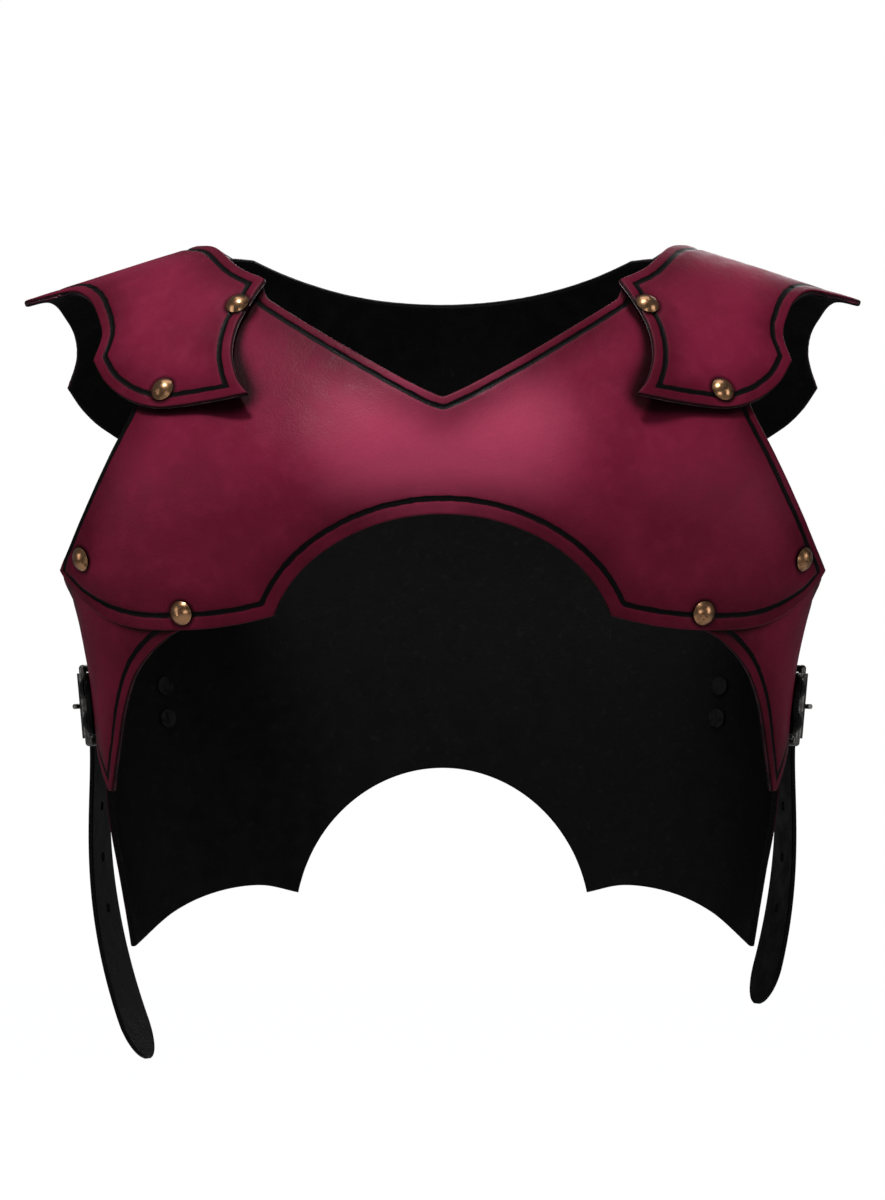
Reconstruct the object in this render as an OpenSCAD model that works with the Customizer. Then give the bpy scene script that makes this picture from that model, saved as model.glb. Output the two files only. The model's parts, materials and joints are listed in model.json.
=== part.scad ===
// Short leather breastplate: a moulded front and back plate joined by a horned
// saddle over each shoulder, with a flank panel, a buckled strap and a hanging
// strap tail at each side.
// Frame: +X to the wearer's left, +Y to the wearer's back, +Z up. The origin lies
// midway between the shoulder ridges, at the level that rests on the shoulders.

/* [Leather] */
// Thickness of the plates, saddles and flank panels
leather_t = 3.5; // [2.5:0.1:4]
// Clearance between two layers of leather
layer_gap = 0.3; // [0.2:0.1:0.6]
// Thickness of the strap leather
strap_t = 2.4; // [1.8:0.1:3]

/* [Torso form] */
// Half width of the form at the shoulder ridges
shoulder_half_w = 213; // [208:1:225]
// Half width of the form at the lower corner of the armhole
chest_half_w = 188; // [187:1:196]
// Half width of the form at the side straps
waist_half_w = 171; // [168:1:176]
// Half width of the form at the lower edge of the back plate
hip_half_w = 155; // [153:1:164]
// Depth of the form from the shoulder line to the chest
chest_depth = 112; // [95:1:130]
// Depth of the form from the shoulder line to the back
back_depth = 96; // [85:1:115]
// Drop from the shoulder ridge to the fullest depth
shoulder_drop = 130; // [115:1:150]
// Slope of the shoulder ridge, as a fall per unit of width
shoulder_slope = 0.318; // [0.25:0.01:0.36]
// How far the bust stands out from the form
bust_out = 9; // [4:1:14]

/* [Breast plate] */
// Depth of the V neck below the origin
neck_v_z = 80; // [72:1:90]
// Half width of the V neck where it meets the saddles
neck_v_half_w = 82; // [79:1:84]
// Depth of the arch's crown below the origin
front_arch_z = 134; // [126:1:142]
// Half width of the arch between the two lower lobes
front_arch_half_w = 78; // [70:1:84]
// Depth of the lower lobes below the origin
front_lobe_z = 188; // [182:1:194]
// Half width of the plate at the lower corners of the armholes
front_corner_half_w = 181; // [178:0.5:184]

/* [Back plate] */
// Depth of the rear neckline below the origin
back_neck_z = 27; // [20:1:32]
// Depth of the rear arch's crown below the origin
back_arch_z = 259; // [252:1:268]
// Half width of the rear arch between its two cusps
back_arch_half_w = 73; // [66:1:80]
// Depth of the lowest side points below the origin
back_point_z = 345; // [338:1:352]

/* [Side straps] */
// Width of the side straps and tails
strap_w = 30; // [26:1:32]
// Depth of the strap's centre line below the origin
strap_z = 225; // [222:1:230]
// Length that the left tail hangs below the strap's centre line
left_tail_len = 149; // [110:1:180]
// Length that the right tail hangs below the strap's centre line
right_tail_len = 177; // [110:1:180]

/* [Buckles] */
// Distance from the heel bar to the roller bar
buckle_len = 26; // [24:1:30]
// Radius of the buckle's bars
buckle_bar_r = 1.8; // [1.5:0.1:2]
// Radius of the roller
roller_r = 3; // [2.7:0.1:3.2]
// Running clearance of the roller and the prong's eye
running_gap = 0.08; // [0.04:0.01:0.1]
// Radius of the prong
prong_r = 1.25; // [1:0.05:1.4]

/* [Rivets] */
// Diameter of the domed rivet caps
cap_d = 11.5; // [10:0.1:12.5]
// Height of the domed rivet caps
cap_h = 2.9; // [2.2:0.1:3.4]
// Diameter of the rivet posts
post_d = 4; // [3:0.1:5]

/* [Hidden] */

red = [0.37, 0.1, 0.17];
black = [0.06, 0.06, 0.06];
brass = [0.55, 0.42, 0.2];
steel = [0.14, 0.14, 0.15];

// Form of the body, shared by every piece of leather
form_power = 2.4;
shoulder_power = 1.7;
ridge_half_w = 114;
armhole_z = 159;
bust_x = 70;
bust_z = 122;
bust_half_w = 50;
bust_half_h = 42;
back_tuck = 4;
waist_depth = chest_depth - 12;
loin_depth = back_depth - 10;
width_table = [
    [-back_point_z, hip_half_w], [-strap_z - 50, waist_half_w - 5], [-strap_z, waist_half_w],
    [-mix(armhole_z, strap_z, 2 / 3), waist_half_w + 3], [-armhole_z - 15, chest_half_w - 7],
    [-armhole_z, chest_half_w], [-60, shoulder_half_w - 4], [40, shoulder_half_w]
];
front_table = [[-strap_z, waist_depth], [-bust_z, chest_depth], [40, chest_depth]];
tuck_table = [
    [-back_point_z, 0], [-strap_z - 50, back_tuck / 2], [-strap_z - 20, back_tuck],
    [-strap_z + 20, back_tuck], [-armhole_z, 0], [40, 0]
];
back_table = [
    [-back_point_z, back_depth], [-strap_z - 20, loin_depth], [-bust_z, back_depth], [40, back_depth]
];

function clamp(v, low, high) = min(max(v, low), high);
function mix(a, b, t) = a + (b - a) * t;
function unit(v) = v / norm(v);
function last(list) = list[len(list) - 1];

// Smooth value from a table of [key, value] rows with rising keys
function table_row(table, key, i = 0) =
    i >= len(table) - 2 || key <= table[i + 1][0] ? i : table_row(table, key, i + 1);
function table_slope(table, i) =
    let(a = table[max(i - 1, 0)], b = table[min(i + 1, len(table) - 1)])
    (b[1] - a[1]) / (b[0] - a[0]);
function table_value(table, key) =
    let(k = clamp(key, table[0][0], last(table)[0]))
    let(i = table_row(table, k), span = table[i + 1][0] - table[i][0])
    let(t = (k - table[i][0]) / span)
    let(s0 = table_slope(table, i) * span, s1 = table_slope(table, i + 1) * span)
    table[i][1] * (2 * t * t * t - 3 * t * t + 1) + s0 * (t * t * t - 2 * t * t + t)
    + table[i + 1][1] * (3 * t * t - 2 * t * t * t) + s1 * (t * t * t - t * t);

// Smooth curve through a few points, for t from 0 to 1
function curve(points, t) =
    let(n = len(points) - 1)
    let(i = min(floor(t * n), n - 1))
    let(f = t * n - i)
    let(p1 = points[i], p2 = points[i + 1])
    let(p0 = i > 0 ? points[i - 1] : 2 * p1 - p2)
    let(p3 = i + 2 <= n ? points[i + 2] : 2 * p2 - p1)
    0.5 * (2 * p1 + (p2 - p0) * f + (2 * p0 - 5 * p1 + 4 * p2 - p3) * f * f
    + (3 * p1 - p0 - 3 * p2 + p3) * f * f * f);

function half_w(z) = table_value(width_table, z);
function ridge_z(x) = (ridge_half_w - abs(x)) * shoulder_slope - 2 * leather_t - layer_gap;
function rise(drop) =
    pow(1 - pow(1 - clamp(drop / shoulder_drop, 0, 1), shoulder_power), 1 / shoulder_power);
function bust(x, z) =
    bust_out * exp(-pow((abs(x) - bust_x) / bust_half_w, 2) - pow((z + bust_z) / bust_half_h, 2));
function form_depth(x, z, side) =
    side < 0 ? table_value(front_table, z) + bust(x, z) : table_value(back_table, z);

// A point of the form, by its angle round the body from the front centre and its level
function torso(angle, z) =
    let(s = pow(abs(sin(angle)), 2 / form_power) * sign(sin(angle)))
    let(c = pow(abs(cos(angle)), 2 / form_power))
    let(side = cos(angle) < 0 ? 1 : -1)
    let(tuck = side > 0 ? table_value(tuck_table, z) * (1 - pow(1 - c, 4)) : 0)
    let(x = (half_w(z) - tuck) * s)
    [x, side * form_depth(x, z, side) * c * rise(ridge_z(x) - z), z];
function torso_normal(angle, z) =
    let(across = torso(angle + 0.5, z) - torso(angle - 0.5, z))
    let(along = torso(angle, z + 0.5) - torso(angle, z - 0.5))
    unit(cross(across, along));
function torso_place(angle, z) = [torso(angle, z), torso_normal(angle, z)];
// The angle from the nearer centre line at which the form is x wide at level z
function wrap_angle(x, z) = asin(pow(clamp(abs(x) / half_w(z), 0, 1), form_power / 2));
// The angle over the shoulder, 0 at the ridge, at which a point lies at x and z
function over_angle(x, z) =
    acos(pow(1 - clamp((ridge_z(x) - z) / shoulder_drop, 0, 1), shoulder_power / 2));
// A point of the form by its width and its angle over the shoulder, positive to the rear
function shoulder(x, over) =
    let(drop = shoulder_drop * (1 - pow(cos(over), 2 / shoulder_power)))
    let(z = ridge_z(x) - drop, side = over < 0 ? -1 : 1)
    let(c = pow(1 - pow(clamp(abs(x) / half_w(z), 0, 1), form_power), 1 / form_power))
    [x, side * form_depth(x, z, side) * c * rise(drop), z];
function shoulder_place(x, over) =
    let(across = shoulder(x + 0.5, over) - shoulder(x - 0.5, over))
    let(along = shoulder(x, over + 0.5) - shoulder(x, over - 0.5))
    [shoulder(x, over), unit(cross(across, along))];

// Blend of four edge curves, each a list, into a grid of points. The higher the
// power, the nearer to the right edge its bends stay.
function patch(top, bottom, left, right, power) =
    let(nu = len(top) - 1, nv = len(left) - 1)
    [for (j = [0 : nv]) [for (i = [0 : nu])
        let(u = i / nu, v = j / nv)
        mix(top[i], bottom[i], v)
        + mix(left[j] - mix(top[0], bottom[0], v), right[j] - mix(last(top), last(bottom), v),
            pow(u, power))]];

// Places of a grid, each [point, outward normal], moved along their normals
function raised(places, height) = [for (row = places) [for (p = row) p[0] + height * p[1]]];
function flat_list(rows) = [for (row = rows) each row];

// A closed sheet of leather between two heights over a grid of places
module sheet(places, low, high) {
    nj = len(places);
    ni = len(places[0]);
    count = nj * ni;
    points = concat(flat_list(raised(places, low)), flat_list(raised(places, high)));
    rim = concat(
        [for (i = [0 : ni - 2]) i],
        [for (j = [0 : nj - 2]) j * ni + ni - 1],
        [for (i = [0 : ni - 2]) nj * ni - 1 - i],
        [for (j = [0 : nj - 2]) (nj - 1 - j) * ni]
    );
    faces = [
        for (j = [0 : nj - 2]) for (i = [0 : ni - 2])
            let(a = j * ni + i, b = a + 1, c = a + ni + 1, d = a + ni)
            let(e = count + a, f = count + b, g = count + c, h = count + d)
            each [[a, c, b], [a, d, c], [e, f, g], [e, g, h]],
        for (k = [0 : len(rim) - 1])
            let(a = rim[k], b = rim[(k + 1) % len(rim)])
            each [[a, count + b, count + a], [a, b, count + b]]
    ];
    polyhedron(points = points, faces = faces, convexity = 6);
}

// Layers of leather, as heights above the form
bend_room = 0.5;
under_high = -layer_gap - bend_room;
under_low = under_high - leather_t;
plate_high = leather_t;
over_low = leather_t + 1.5 * layer_gap;
saddle_low = leather_t + 2.3 * layer_gap;
saddle_high = saddle_low + leather_t;

// Edge curves of the breast plate, as [half width, level] points from the centre out
half_cols = 24;
plate_rows = 12;
ear_high_z = 17;
ear_corner = [132, -36.5];
ear_side_x = 143;
ear_side_z = 79;
lobe_mid_x = 125;
lobe_rise = 7;
lobe_corner_z = front_lobe_z - lobe_rise;
neck_v_top_z = 33;
front_arch_share = 0.97;

// A quarter of an ellipse from the crown of an arch to its corner, for t from 0 to 1
function arch(half_width, crown_z, drop, share, t) =
    let(s = sin(90 * t), fall = (1 - sqrt(1 - pow(share * s, 2))) / (1 - sqrt(1 - share * share)))
    [half_width * s, -crown_z - drop * fall];
function v_edge(t) =
    [neck_v_half_w * t, -neck_v_z + (neck_v_z - neck_v_top_z) * pow(t, 1.15)];
function breast_top(u) =
    u <= 0.5 ? v_edge(2 * u)
    : curve([
        [neck_v_half_w, -neck_v_top_z], [neck_v_half_w + 7, -ear_high_z - 4], [106, -ear_high_z],
        [124, -ear_high_z - 8], ear_corner
    ], 2 * u - 1);
function breast_bottom(u) =
    u <= 0.5
    ? arch(front_arch_half_w, front_arch_z, lobe_corner_z - front_arch_z, front_arch_share, 2 * u)
    : let(x = mix(front_arch_half_w, front_corner_half_w, 2 * u - 1))
        let(span = x < lobe_mid_x ? lobe_mid_x - front_arch_half_w : front_corner_half_w - lobe_mid_x)
        let(fall = x < lobe_mid_x ? lobe_rise : front_lobe_z - armhole_z)
        [x, -front_lobe_z + fall * pow(abs(x - lobe_mid_x) / span, x < lobe_mid_x ? 2 : 3)];
function side_edge(t) = [mix(ear_side_x, front_corner_half_w, t), mix(-ear_side_z, -armhole_z, t)];
function breast_side(v) =
    curve([ear_corner, [138, -51], side_edge(0), side_edge(1 / 3), side_edge(2 / 3), side_edge(1)], v);
function wrapped(p) = [wrap_angle(p[0], p[1]), p[1]];
function breast_half() = patch(
    [for (i = [0 : half_cols]) wrapped(breast_top(i / half_cols))],
    [for (i = [0 : half_cols]) wrapped(breast_bottom(i / half_cols))],
    [for (j = [0 : plate_rows]) [0, mix(-neck_v_z, -front_arch_z, j / plate_rows)]],
    [for (j = [0 : plate_rows]) wrapped(breast_side(j / plate_rows))],
    2
);
function mirrored(row) = [for (i = [len(row) - 1 : -1 : 1]) [-row[i][0], row[i][1]]];
function breast_grid() = [for (row = breast_half())
    [for (p = concat(mirrored(row), row)) torso_place(p[0], p[1])]];

// Edge curves of the back plate, as [half width, level] points from the centre out
back_rows = 17;
back_ear_x = 92;
back_ear_z = 9;
back_ear_corner = [125, -21];
back_arch_drop = 63;
back_arch_share = 0.98;
back_corner_x = 151;
function back_top(u) =
    u <= 0.5 ? [back_ear_x * 2 * u, -back_neck_z + (back_neck_z - back_ear_z) * pow(2 * u, 2.2)]
    : curve([
        [back_ear_x, -back_ear_z], [104, -back_ear_z], [115, -13], back_ear_corner
    ], 2 * u - 1);
function back_bottom(u) =
    u <= 0.5
    ? arch(back_arch_half_w, back_arch_z, back_arch_drop, back_arch_share, 2 * u)
    : curve([
        [back_arch_half_w, -back_arch_z - back_arch_drop], [92, -back_point_z + 27],
        [114, -back_point_z + 24], [134, -back_point_z + 15], [back_corner_x, -back_point_z]
    ], 2 * u - 1);
side_edge_angle = 77;
back_side = [
    wrapped(back_ear_corner), wrapped([138, -50]), wrapped([147, -88]), wrapped([156, -116]),
    wrapped([168, -140]),
    [side_edge_angle, -armhole_z - 11], [side_edge_angle, -strap_z],
    [side_edge_angle + 2, -strap_z - 50], [side_edge_angle, -back_point_z + 35],
    wrapped([back_corner_x, -back_point_z])
];
function back_half() = patch(
    [for (i = [0 : half_cols]) wrapped(back_top(i / half_cols))],
    [for (i = [0 : half_cols]) wrapped(back_bottom(i / half_cols))],
    [for (j = [0 : back_rows]) [0, mix(-back_neck_z, -back_arch_z, j / back_rows)]],
    [for (j = [0 : back_rows]) curve(back_side, j / back_rows)],
    2
);
function back_grid() = [for (row = back_half())
    [for (p = concat(mirrored(row), row)) torso_place(180 + p[0], p[1])]];

// Edge curves of a saddle, as [half width, level] points
saddle_rows = 12;
saddle_cols = 16;
saddle_neck_x = 117;
tip_x = 202;
tip_z = ridge_z(tip_x);
neck_top = [saddle_neck_x, ridge_z(saddle_neck_x)];
neck_corner = [82, -26.5];
flare = [88.5, -81];
flare_out = 5;
flare_reach = 16;
front_horn = [163.3, -63.4];
rear_foot = [92, -96];
rear_horn = [182.5, -71];
horn_drop = 1.5;
function horn(x) = [x, ridge_z(x) - horn_drop];
function over(p) = [p[0], over_angle(p[0], p[1])];
function saddle_patch(neck, inner, outer, bottom) = patch(
    [for (i = [0 : saddle_cols]) [mix(saddle_neck_x, tip_x, i / saddle_cols), 0]],
    [for (i = [0 : saddle_cols]) over(curve(bottom, i / saddle_cols))],
    [for (j = [0 : saddle_rows])
        let(v = j / saddle_rows)
        over(v <= 0.3 ? curve(neck, v / 0.3) : curve(inner, (v - 0.3) / 0.7))],
    [for (j = [0 : saddle_rows]) over(curve(outer, j / saddle_rows))],
    1
);
function saddle_front() = saddle_patch(
    [neck_top, [107, -10], [95, -20.5], neck_corner],
    [neck_corner, [88.5, -36], [95, -48.5], [97, -61], [94, -73.4], flare],
    [[tip_x, tip_z], horn(187), [176, -30.5], [168, -34.5], [163, -42], [160, -52], front_horn],
    [flare, [107, -84], [130, -86], [144.5, -82.5], [156, -74.5], front_horn]
);
function saddle_rear() = saddle_patch(
    [neck_top, [109, -8], [100, -12], [92, -14]],
    [[92, -14], [97, -33], [100, -57], [99, -80], rear_foot],
    [[tip_x, tip_z], horn(190), [183, -40], [179, -48], [178.5, -58], rear_horn],
    [rear_foot, [120, -103], [148, -100], [165, -91], [175, -82], rear_horn]
);
// The lower inner corner of a saddle stands off the plate beneath it
function flared(p) =
    let(far = norm([p[0][0], p[0][2]] - flare) / flare_reach)
    [p[0] - [0, flare_out * exp(-far * far), 0], p[1]];
function saddle_grid() = concat(
    [for (j = [saddle_rows : -1 : 1]) [for (p = saddle_rear()[j]) shoulder_place(p[0], p[1])]],
    [for (row = saddle_front()) [for (p = row) flared(shoulder_place(p[0], -p[1]))]]
);

// Edge curves of a flank panel, as [angle, level] points
flank_rows = 14;
flank_cols = 12;
flank_tip_z = -strap_z - 41;
flank_front_top = wrapped([104, -armhole_z - 7]);
flank_rear_top = [99, -armhole_z - 17];
flank_front = [
    flank_front_top, wrapped([109, -armhole_z - 22]), wrapped([131, -strap_z + 32.5]),
    wrapped([146, -strap_z + 17]), wrapped([153, -strap_z - 1]), wrapped([156.5, -strap_z - 21]),
    wrapped([159.5, flank_tip_z])
];
flank_rear = [
    flank_rear_top, [102, -strap_z + 33], [101, -strap_z + 15], [100, -strap_z + 2],
    [94, -strap_z - 12], [85, -strap_z - 22], wrapped([161.5, flank_tip_z])
];
flank_top = [
    flank_front_top, wrapped([140, -armhole_z + 7]), wrapped([171, -armhole_z + 16]),
    [84, -armhole_z - 8], flank_rear_top
];
function flank_grid() =
    let(cells = patch(
        [for (i = [0 : flank_cols]) curve(flank_top, i / flank_cols)],
        [for (i = [0 : flank_cols]) mix(last(flank_front), last(flank_rear), i / flank_cols)],
        [for (j = [0 : flank_rows]) curve(flank_front, j / flank_rows)],
        [for (j = [0 : flank_rows]) curve(flank_rear, j / flank_rows)],
        1
    ))
    [for (row = cells) [for (p = row) torso_place(p[0], p[1])]];

// Rivets, as [angle, level] or [half width, angle over the shoulder]
post_gap = 0.1;
punch_reach = 16;
head_gap = 0.15;
burr_gap = 0.6;
burr_d = 9;
burr_t = 1;
front_rivets = [wrapped([95, -38.5]), wrapped([129, -78])];
flank_rivet_list = [wrapped([169.5, -154]), wrapped([121.5, -179.5])];
back_rivets = [wrapped([104, -27]), wrapped([136, -84])];
strap_rivet_angle = 90;
strap_rivet_side = 8;
strap_rivet_list = [for (s = [-1, 1]) [strap_rivet_angle, -strap_z + s * strap_rivet_side]];

module at_torso(angle, z) {
    n = torso_normal(angle, z);
    translate(torso(angle, z)) rotate([0, acos(n[2]), atan2(n[1], n[0])]) children();
}
module both_sides() {
    children();
    mirror([1, 0, 0]) children();
}
module punch() {
    cylinder(r = post_d / 2 + post_gap, h = 2 * punch_reach, center = true, $fn = 24);
}
// A post with a domed cap above the leather and a flat burr beneath it
module rivet(low, high) {
    cap_r = cap_d / 2;
    dome_r = (cap_r * cap_r + cap_h * cap_h) / (2 * cap_h);
    translate([0, 0, low - burr_t - burr_gap]) cylinder(r = burr_d / 2, h = burr_t, $fn = 32);
    translate([0, 0, low - burr_gap - burr_t / 2])
        cylinder(r = post_d / 2, h = high - low + burr_gap + head_gap + burr_t, $fn = 24);
    intersection() {
        translate([0, 0, high + head_gap + cap_h - dome_r]) sphere(r = dome_r, $fn = 64);
        translate([0, 0, high + head_gap]) cylinder(r = cap_r, h = cap_h + 1, $fn = 48);
    }
}

// Buckle place: t runs from the heel bar forward, n outward and z up
heel_angle = 112;
chape_t = strap_t - 0.4;
strap_plane = torso(heel_angle, -strap_z);
function plan_angle(angle, reach, target) =
    reach < 0.01 ? angle
    : norm(torso(angle, -strap_z) - strap_plane) < target
        ? plan_angle(angle - reach, reach, target) : plan_angle(angle + reach, reach / 2, target);
roller_angle = plan_angle(heel_angle - 1, 1, buckle_len);
forward = unit(torso(roller_angle, -strap_z) - strap_plane);
lean = torso(heel_angle, -strap_z + strap_w / 2) - torso(heel_angle, -strap_z - strap_w / 2);
outward = unit(cross(lean, forward));
up = cross(forward, outward);
chape_rise = 1;
bar_n = leather_t + 2 * layer_gap + chape_rise / 2 + chape_t + buckle_bar_r;
function to_local(p) = [(p - strap_plane) * forward, (p - strap_plane) * outward];
function local_form(angle, height) =
    to_local(torso(angle, -strap_z) + height * torso_normal(angle, -strap_z));
module at_buckle() {
    multmatrix([
        [forward[0], outward[0], up[0], strap_plane[0]],
        [forward[1], outward[1], up[1], strap_plane[1]],
        [forward[2], outward[2], up[2], strap_plane[2]],
        [0, 0, 0, 1]
    ]) children();
}

// A ribbon of even thickness along a plan path
function path_normal(path, i) =
    let(d = path[min(i + 1, len(path) - 1)] - path[max(i - 1, 0)])
    unit([-d[1], d[0]]);
function ribbon(path, t) = concat(
    [for (i = [0 : len(path) - 1]) path[i] + path_normal(path, i) * t / 2],
    [for (i = [len(path) - 1 : -1 : 0]) path[i] - path_normal(path, i) * t / 2]
);

// Side strap: along the flank, under the roller and up through the frame
strap_mid = strap_t / 2;
strap_end_t = -4;
strap_over_n = bar_n + buckle_bar_r + 2 * layer_gap + chape_t + strap_mid;
strap_under_n = bar_n - roller_r - layer_gap - strap_mid;
strap_front_angle = 84;
slot_front_t = 20;
slot_back_t = 3;
slot_h = 2 * prong_r + 1.8;
strap_points = [
    local_form(strap_front_angle, strap_mid), local_form(strap_front_angle + 3, strap_mid),
    local_form(strap_rivet_angle, strap_mid), local_form(strap_rivet_angle + 3, strap_mid),
    [buckle_len + 3, strap_under_n], [buckle_len - 3, strap_under_n + 0.7],
    [buckle_len / 2, mix(strap_under_n, strap_over_n, 0.62)], [5, strap_over_n - 0.6],
    [strap_end_t, strap_over_n]
];
strap_steps = 32;
module strap() {
    path = [for (i = [0 : strap_steps]) curve(strap_points, i / strap_steps)];
    front_t = strap_points[0][0];
    end_r = strap_w / 3;
    difference() {
        at_buckle() difference() {
            translate([0, 0, -strap_w / 2]) linear_extrude(strap_w) polygon(ribbon(path, strap_t));
            translate([slot_back_t, bar_n - 4, -slot_h / 2])
                cube([slot_front_t - slot_back_t, strap_over_n, slot_h]);
            for (s = [-1, 1]) translate([front_t - end_r + 1, 0, s * (strap_w / 2 - end_r)])
                rotate([90, 0, 0]) difference() {
                    translate([0, s > 0 ? 0 : -end_r - 1, -60]) cube([end_r + 1, end_r + 1, 120]);
                    translate([0, 0, -61]) cylinder(r = end_r, h = 122, $fn = 48);
                }
        }
        for (r = strap_rivet_list) at_torso(r[0], r[1]) punch();
    }
}

// Hanging tail: starts where the strap ends, folds down and follows the body's side
fold_gap = 0.6;
tail_front_t = strap_end_t - fold_gap;
hole_r = 2.5;
hole_pitch = 25;
hole_count = 4;
tail_tip_h = 20;
tail_steps = 26;
tail_stand = 10;
function tail_half(drop, length) =
    drop > length - tail_tip_h
    ? strap_w / 2 * sqrt(max(0.02, 1 - pow((drop - length + tail_tip_h) / tail_tip_h, 2)))
    : strap_w / 2;
// The tail stands out below its fold, and leans in and turns a little as it hangs
function tail_n(drop) = strap_over_n + tail_stand + 0.26 * drop - 0.0019 * drop * drop;
function tail_turn(drop) = -0.9 * drop * exp(-drop / 34);
function tail_ring(z_drop, length) =
    let(drop = max(z_drop, 0), half = tail_half(drop, length))
    let(wide = z_drop < 0 ? max(1, z_drop + strap_w) / 2 : half)
    let(mid_t = z_drop < 0 ? tail_front_t - wide : tail_front_t - strap_w / 2)
    let(n = z_drop < 0 ? strap_over_n + tail_stand * (z_drop + strap_w) / strap_w : tail_n(drop))
    let(a = tail_turn(drop), w = [cos(a), sin(a)], o = [-sin(a), cos(a)])
    let(c = [mid_t, n], h = strap_t / 2)
    [for (k = [[1, -1], [1, 1], [-1, 1], [-1, -1]])
        let(q = c + k[0] * wide * w + k[1] * h * o) [q[0], q[1], -strap_w / 2 - z_drop]];
module tail(length) {
    hang = length - strap_w / 2;
    drops = concat(
        [for (i = [0 : 4]) -strap_w + 0.6 + i * (strap_w - 0.6) / 5],
        [for (i = [0 : tail_steps]) hang * (1 - pow(1 - i / tail_steps, 1.5))]
    );
    points = flat_list([for (d = drops) tail_ring(d, hang)]);
    rings = len(drops);
    faces = concat(
        [[0, 2, 1], [0, 3, 2]],
        [for (r = [0 : rings - 2]) for (k = [0 : 3])
            let(a = 4 * r + k, b = 4 * r + (k + 1) % 4)
            each [[a, b + 4, a + 4], [a, b, b + 4]]],
        [[4 * rings - 4, 4 * rings - 3, 4 * rings - 2], [4 * rings - 4, 4 * rings - 2, 4 * rings - 1]]
    );
    at_buckle() difference() {
        polyhedron(points = points, faces = faces, convexity = 4);
        for (k = [1 : hole_count])
            let(d = k * hole_pitch - strap_w / 2)
            translate([tail_front_t - strap_w / 2, tail_n(d), -strap_w / 2 - d])
                rotate([0, 0, tail_turn(d)]) rotate([90, 0, 0])
                    cylinder(r = hole_r, h = 4 * strap_t, center = true, $fn = 24);
    }
}

// Chape: a leather loop round the heel bar with both leaves riveted to the back plate
chape_angles = [for (i = [0 : 5]) heel_angle + 4 + i * 4];
chape_rivet_angle = heel_angle + 15;
chape_inner_r = buckle_bar_r + layer_gap;
chape_low = over_low + chape_rise + chape_t / 2;
chape_high = chape_low + chape_t + layer_gap;
prong_slot_h = 12;
module chape() {
    ring_r = chape_inner_r + chape_t / 2;
    path = concat(
        [for (i = [len(chape_angles) - 1 : -1 : 0]) local_form(chape_angles[i], chape_low)],
        [for (a = [-96 : 16 : 96]) [ring_r * cos(a), bar_n + ring_r * sin(a)]],
        [for (i = [1 : len(chape_angles) - 1]) local_form(chape_angles[i], chape_high)]
    );
    difference() {
        at_buckle() difference() {
            translate([0, 0, -strap_w / 2]) linear_extrude(strap_w) polygon(ribbon(path, chape_t));
            translate([-5, bar_n - ring_r - 6, -prong_slot_h / 2]) cube([20, 2 * ring_r + 12, prong_slot_h]);
        }
        at_torso(chape_rivet_angle, -strap_z - strap_rivet_side) punch();
        at_torso(chape_rivet_angle, -strap_z + strap_rivet_side) punch();
    }
}

// Buckle frame: a rectangle of round bars whose heel bar turns in the chape
side_gap = 1.5;
frame_half_h = strap_w / 2 + side_gap + buckle_bar_r;
module bar(from, to, r) {
    d = to - from;
    translate(from) rotate([0, acos(d[2] / norm(d)), atan2(d[1], d[0])])
        cylinder(r = r, h = norm(d), $fn = 32);
}
module buckle_frame() {
    corners = [
        [0, bar_n, -frame_half_h], [buckle_len, bar_n, -frame_half_h],
        [buckle_len, bar_n, frame_half_h], [0, bar_n, frame_half_h]
    ];
    at_buckle() for (i = [0 : 3]) {
        bar(corners[i], corners[(i + 1) % 4], buckle_bar_r);
        translate(corners[i]) sphere(r = buckle_bar_r, $fn = 32);
    }
}
module roller() {
    roller_h = strap_w + 2 * side_gap - 1;
    at_buckle() translate([buckle_len, bar_n, -roller_h / 2]) difference() {
        cylinder(r = roller_r, h = roller_h, $fn = 48);
        translate([0, 0, -1]) cylinder(r = buckle_bar_r + running_gap, h = roller_h + 2, $fn = 48);
    }
}

// Prong: an eye round the heel bar and a rod that rests on the roller
eye_wall = 1.3;
eye_h = prong_slot_h - 5;
prong_reach = buckle_len + 3;
prong_rest = 0.15;
module prong() {
    eye_r = buckle_bar_r + running_gap + eye_wall;
    tip_n = bar_n + roller_r + prong_rest + prong_r;
    root = [eye_r - prong_r, bar_n + eye_r - prong_r, 0];
    tip = [prong_reach, tip_n + (tip_n - root[1]) * (prong_reach - buckle_len) / buckle_len, 0];
    at_buckle() difference() {
        union() {
            translate([0, bar_n, -eye_h / 2]) cylinder(r = eye_r, h = eye_h, $fn = 48);
            bar(root, tip, prong_r);
        }
        translate([0, bar_n, -eye_h]) cylinder(r = buckle_bar_r + running_gap, h = 2 * eye_h, $fn = 48);
    }
}

// Rivet places over both sides
module front_places(list) {
    for (p = list) both_sides() at_torso(p[0], p[1]) children();
}
module rear_places(list) {
    for (p = list) both_sides() at_torso(180 - p[0], p[1]) children();
}
module chape_places() {
    for (s = [-1, 1]) both_sides() at_torso(chape_rivet_angle, -strap_z + s * strap_rivet_side) children();
}

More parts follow.
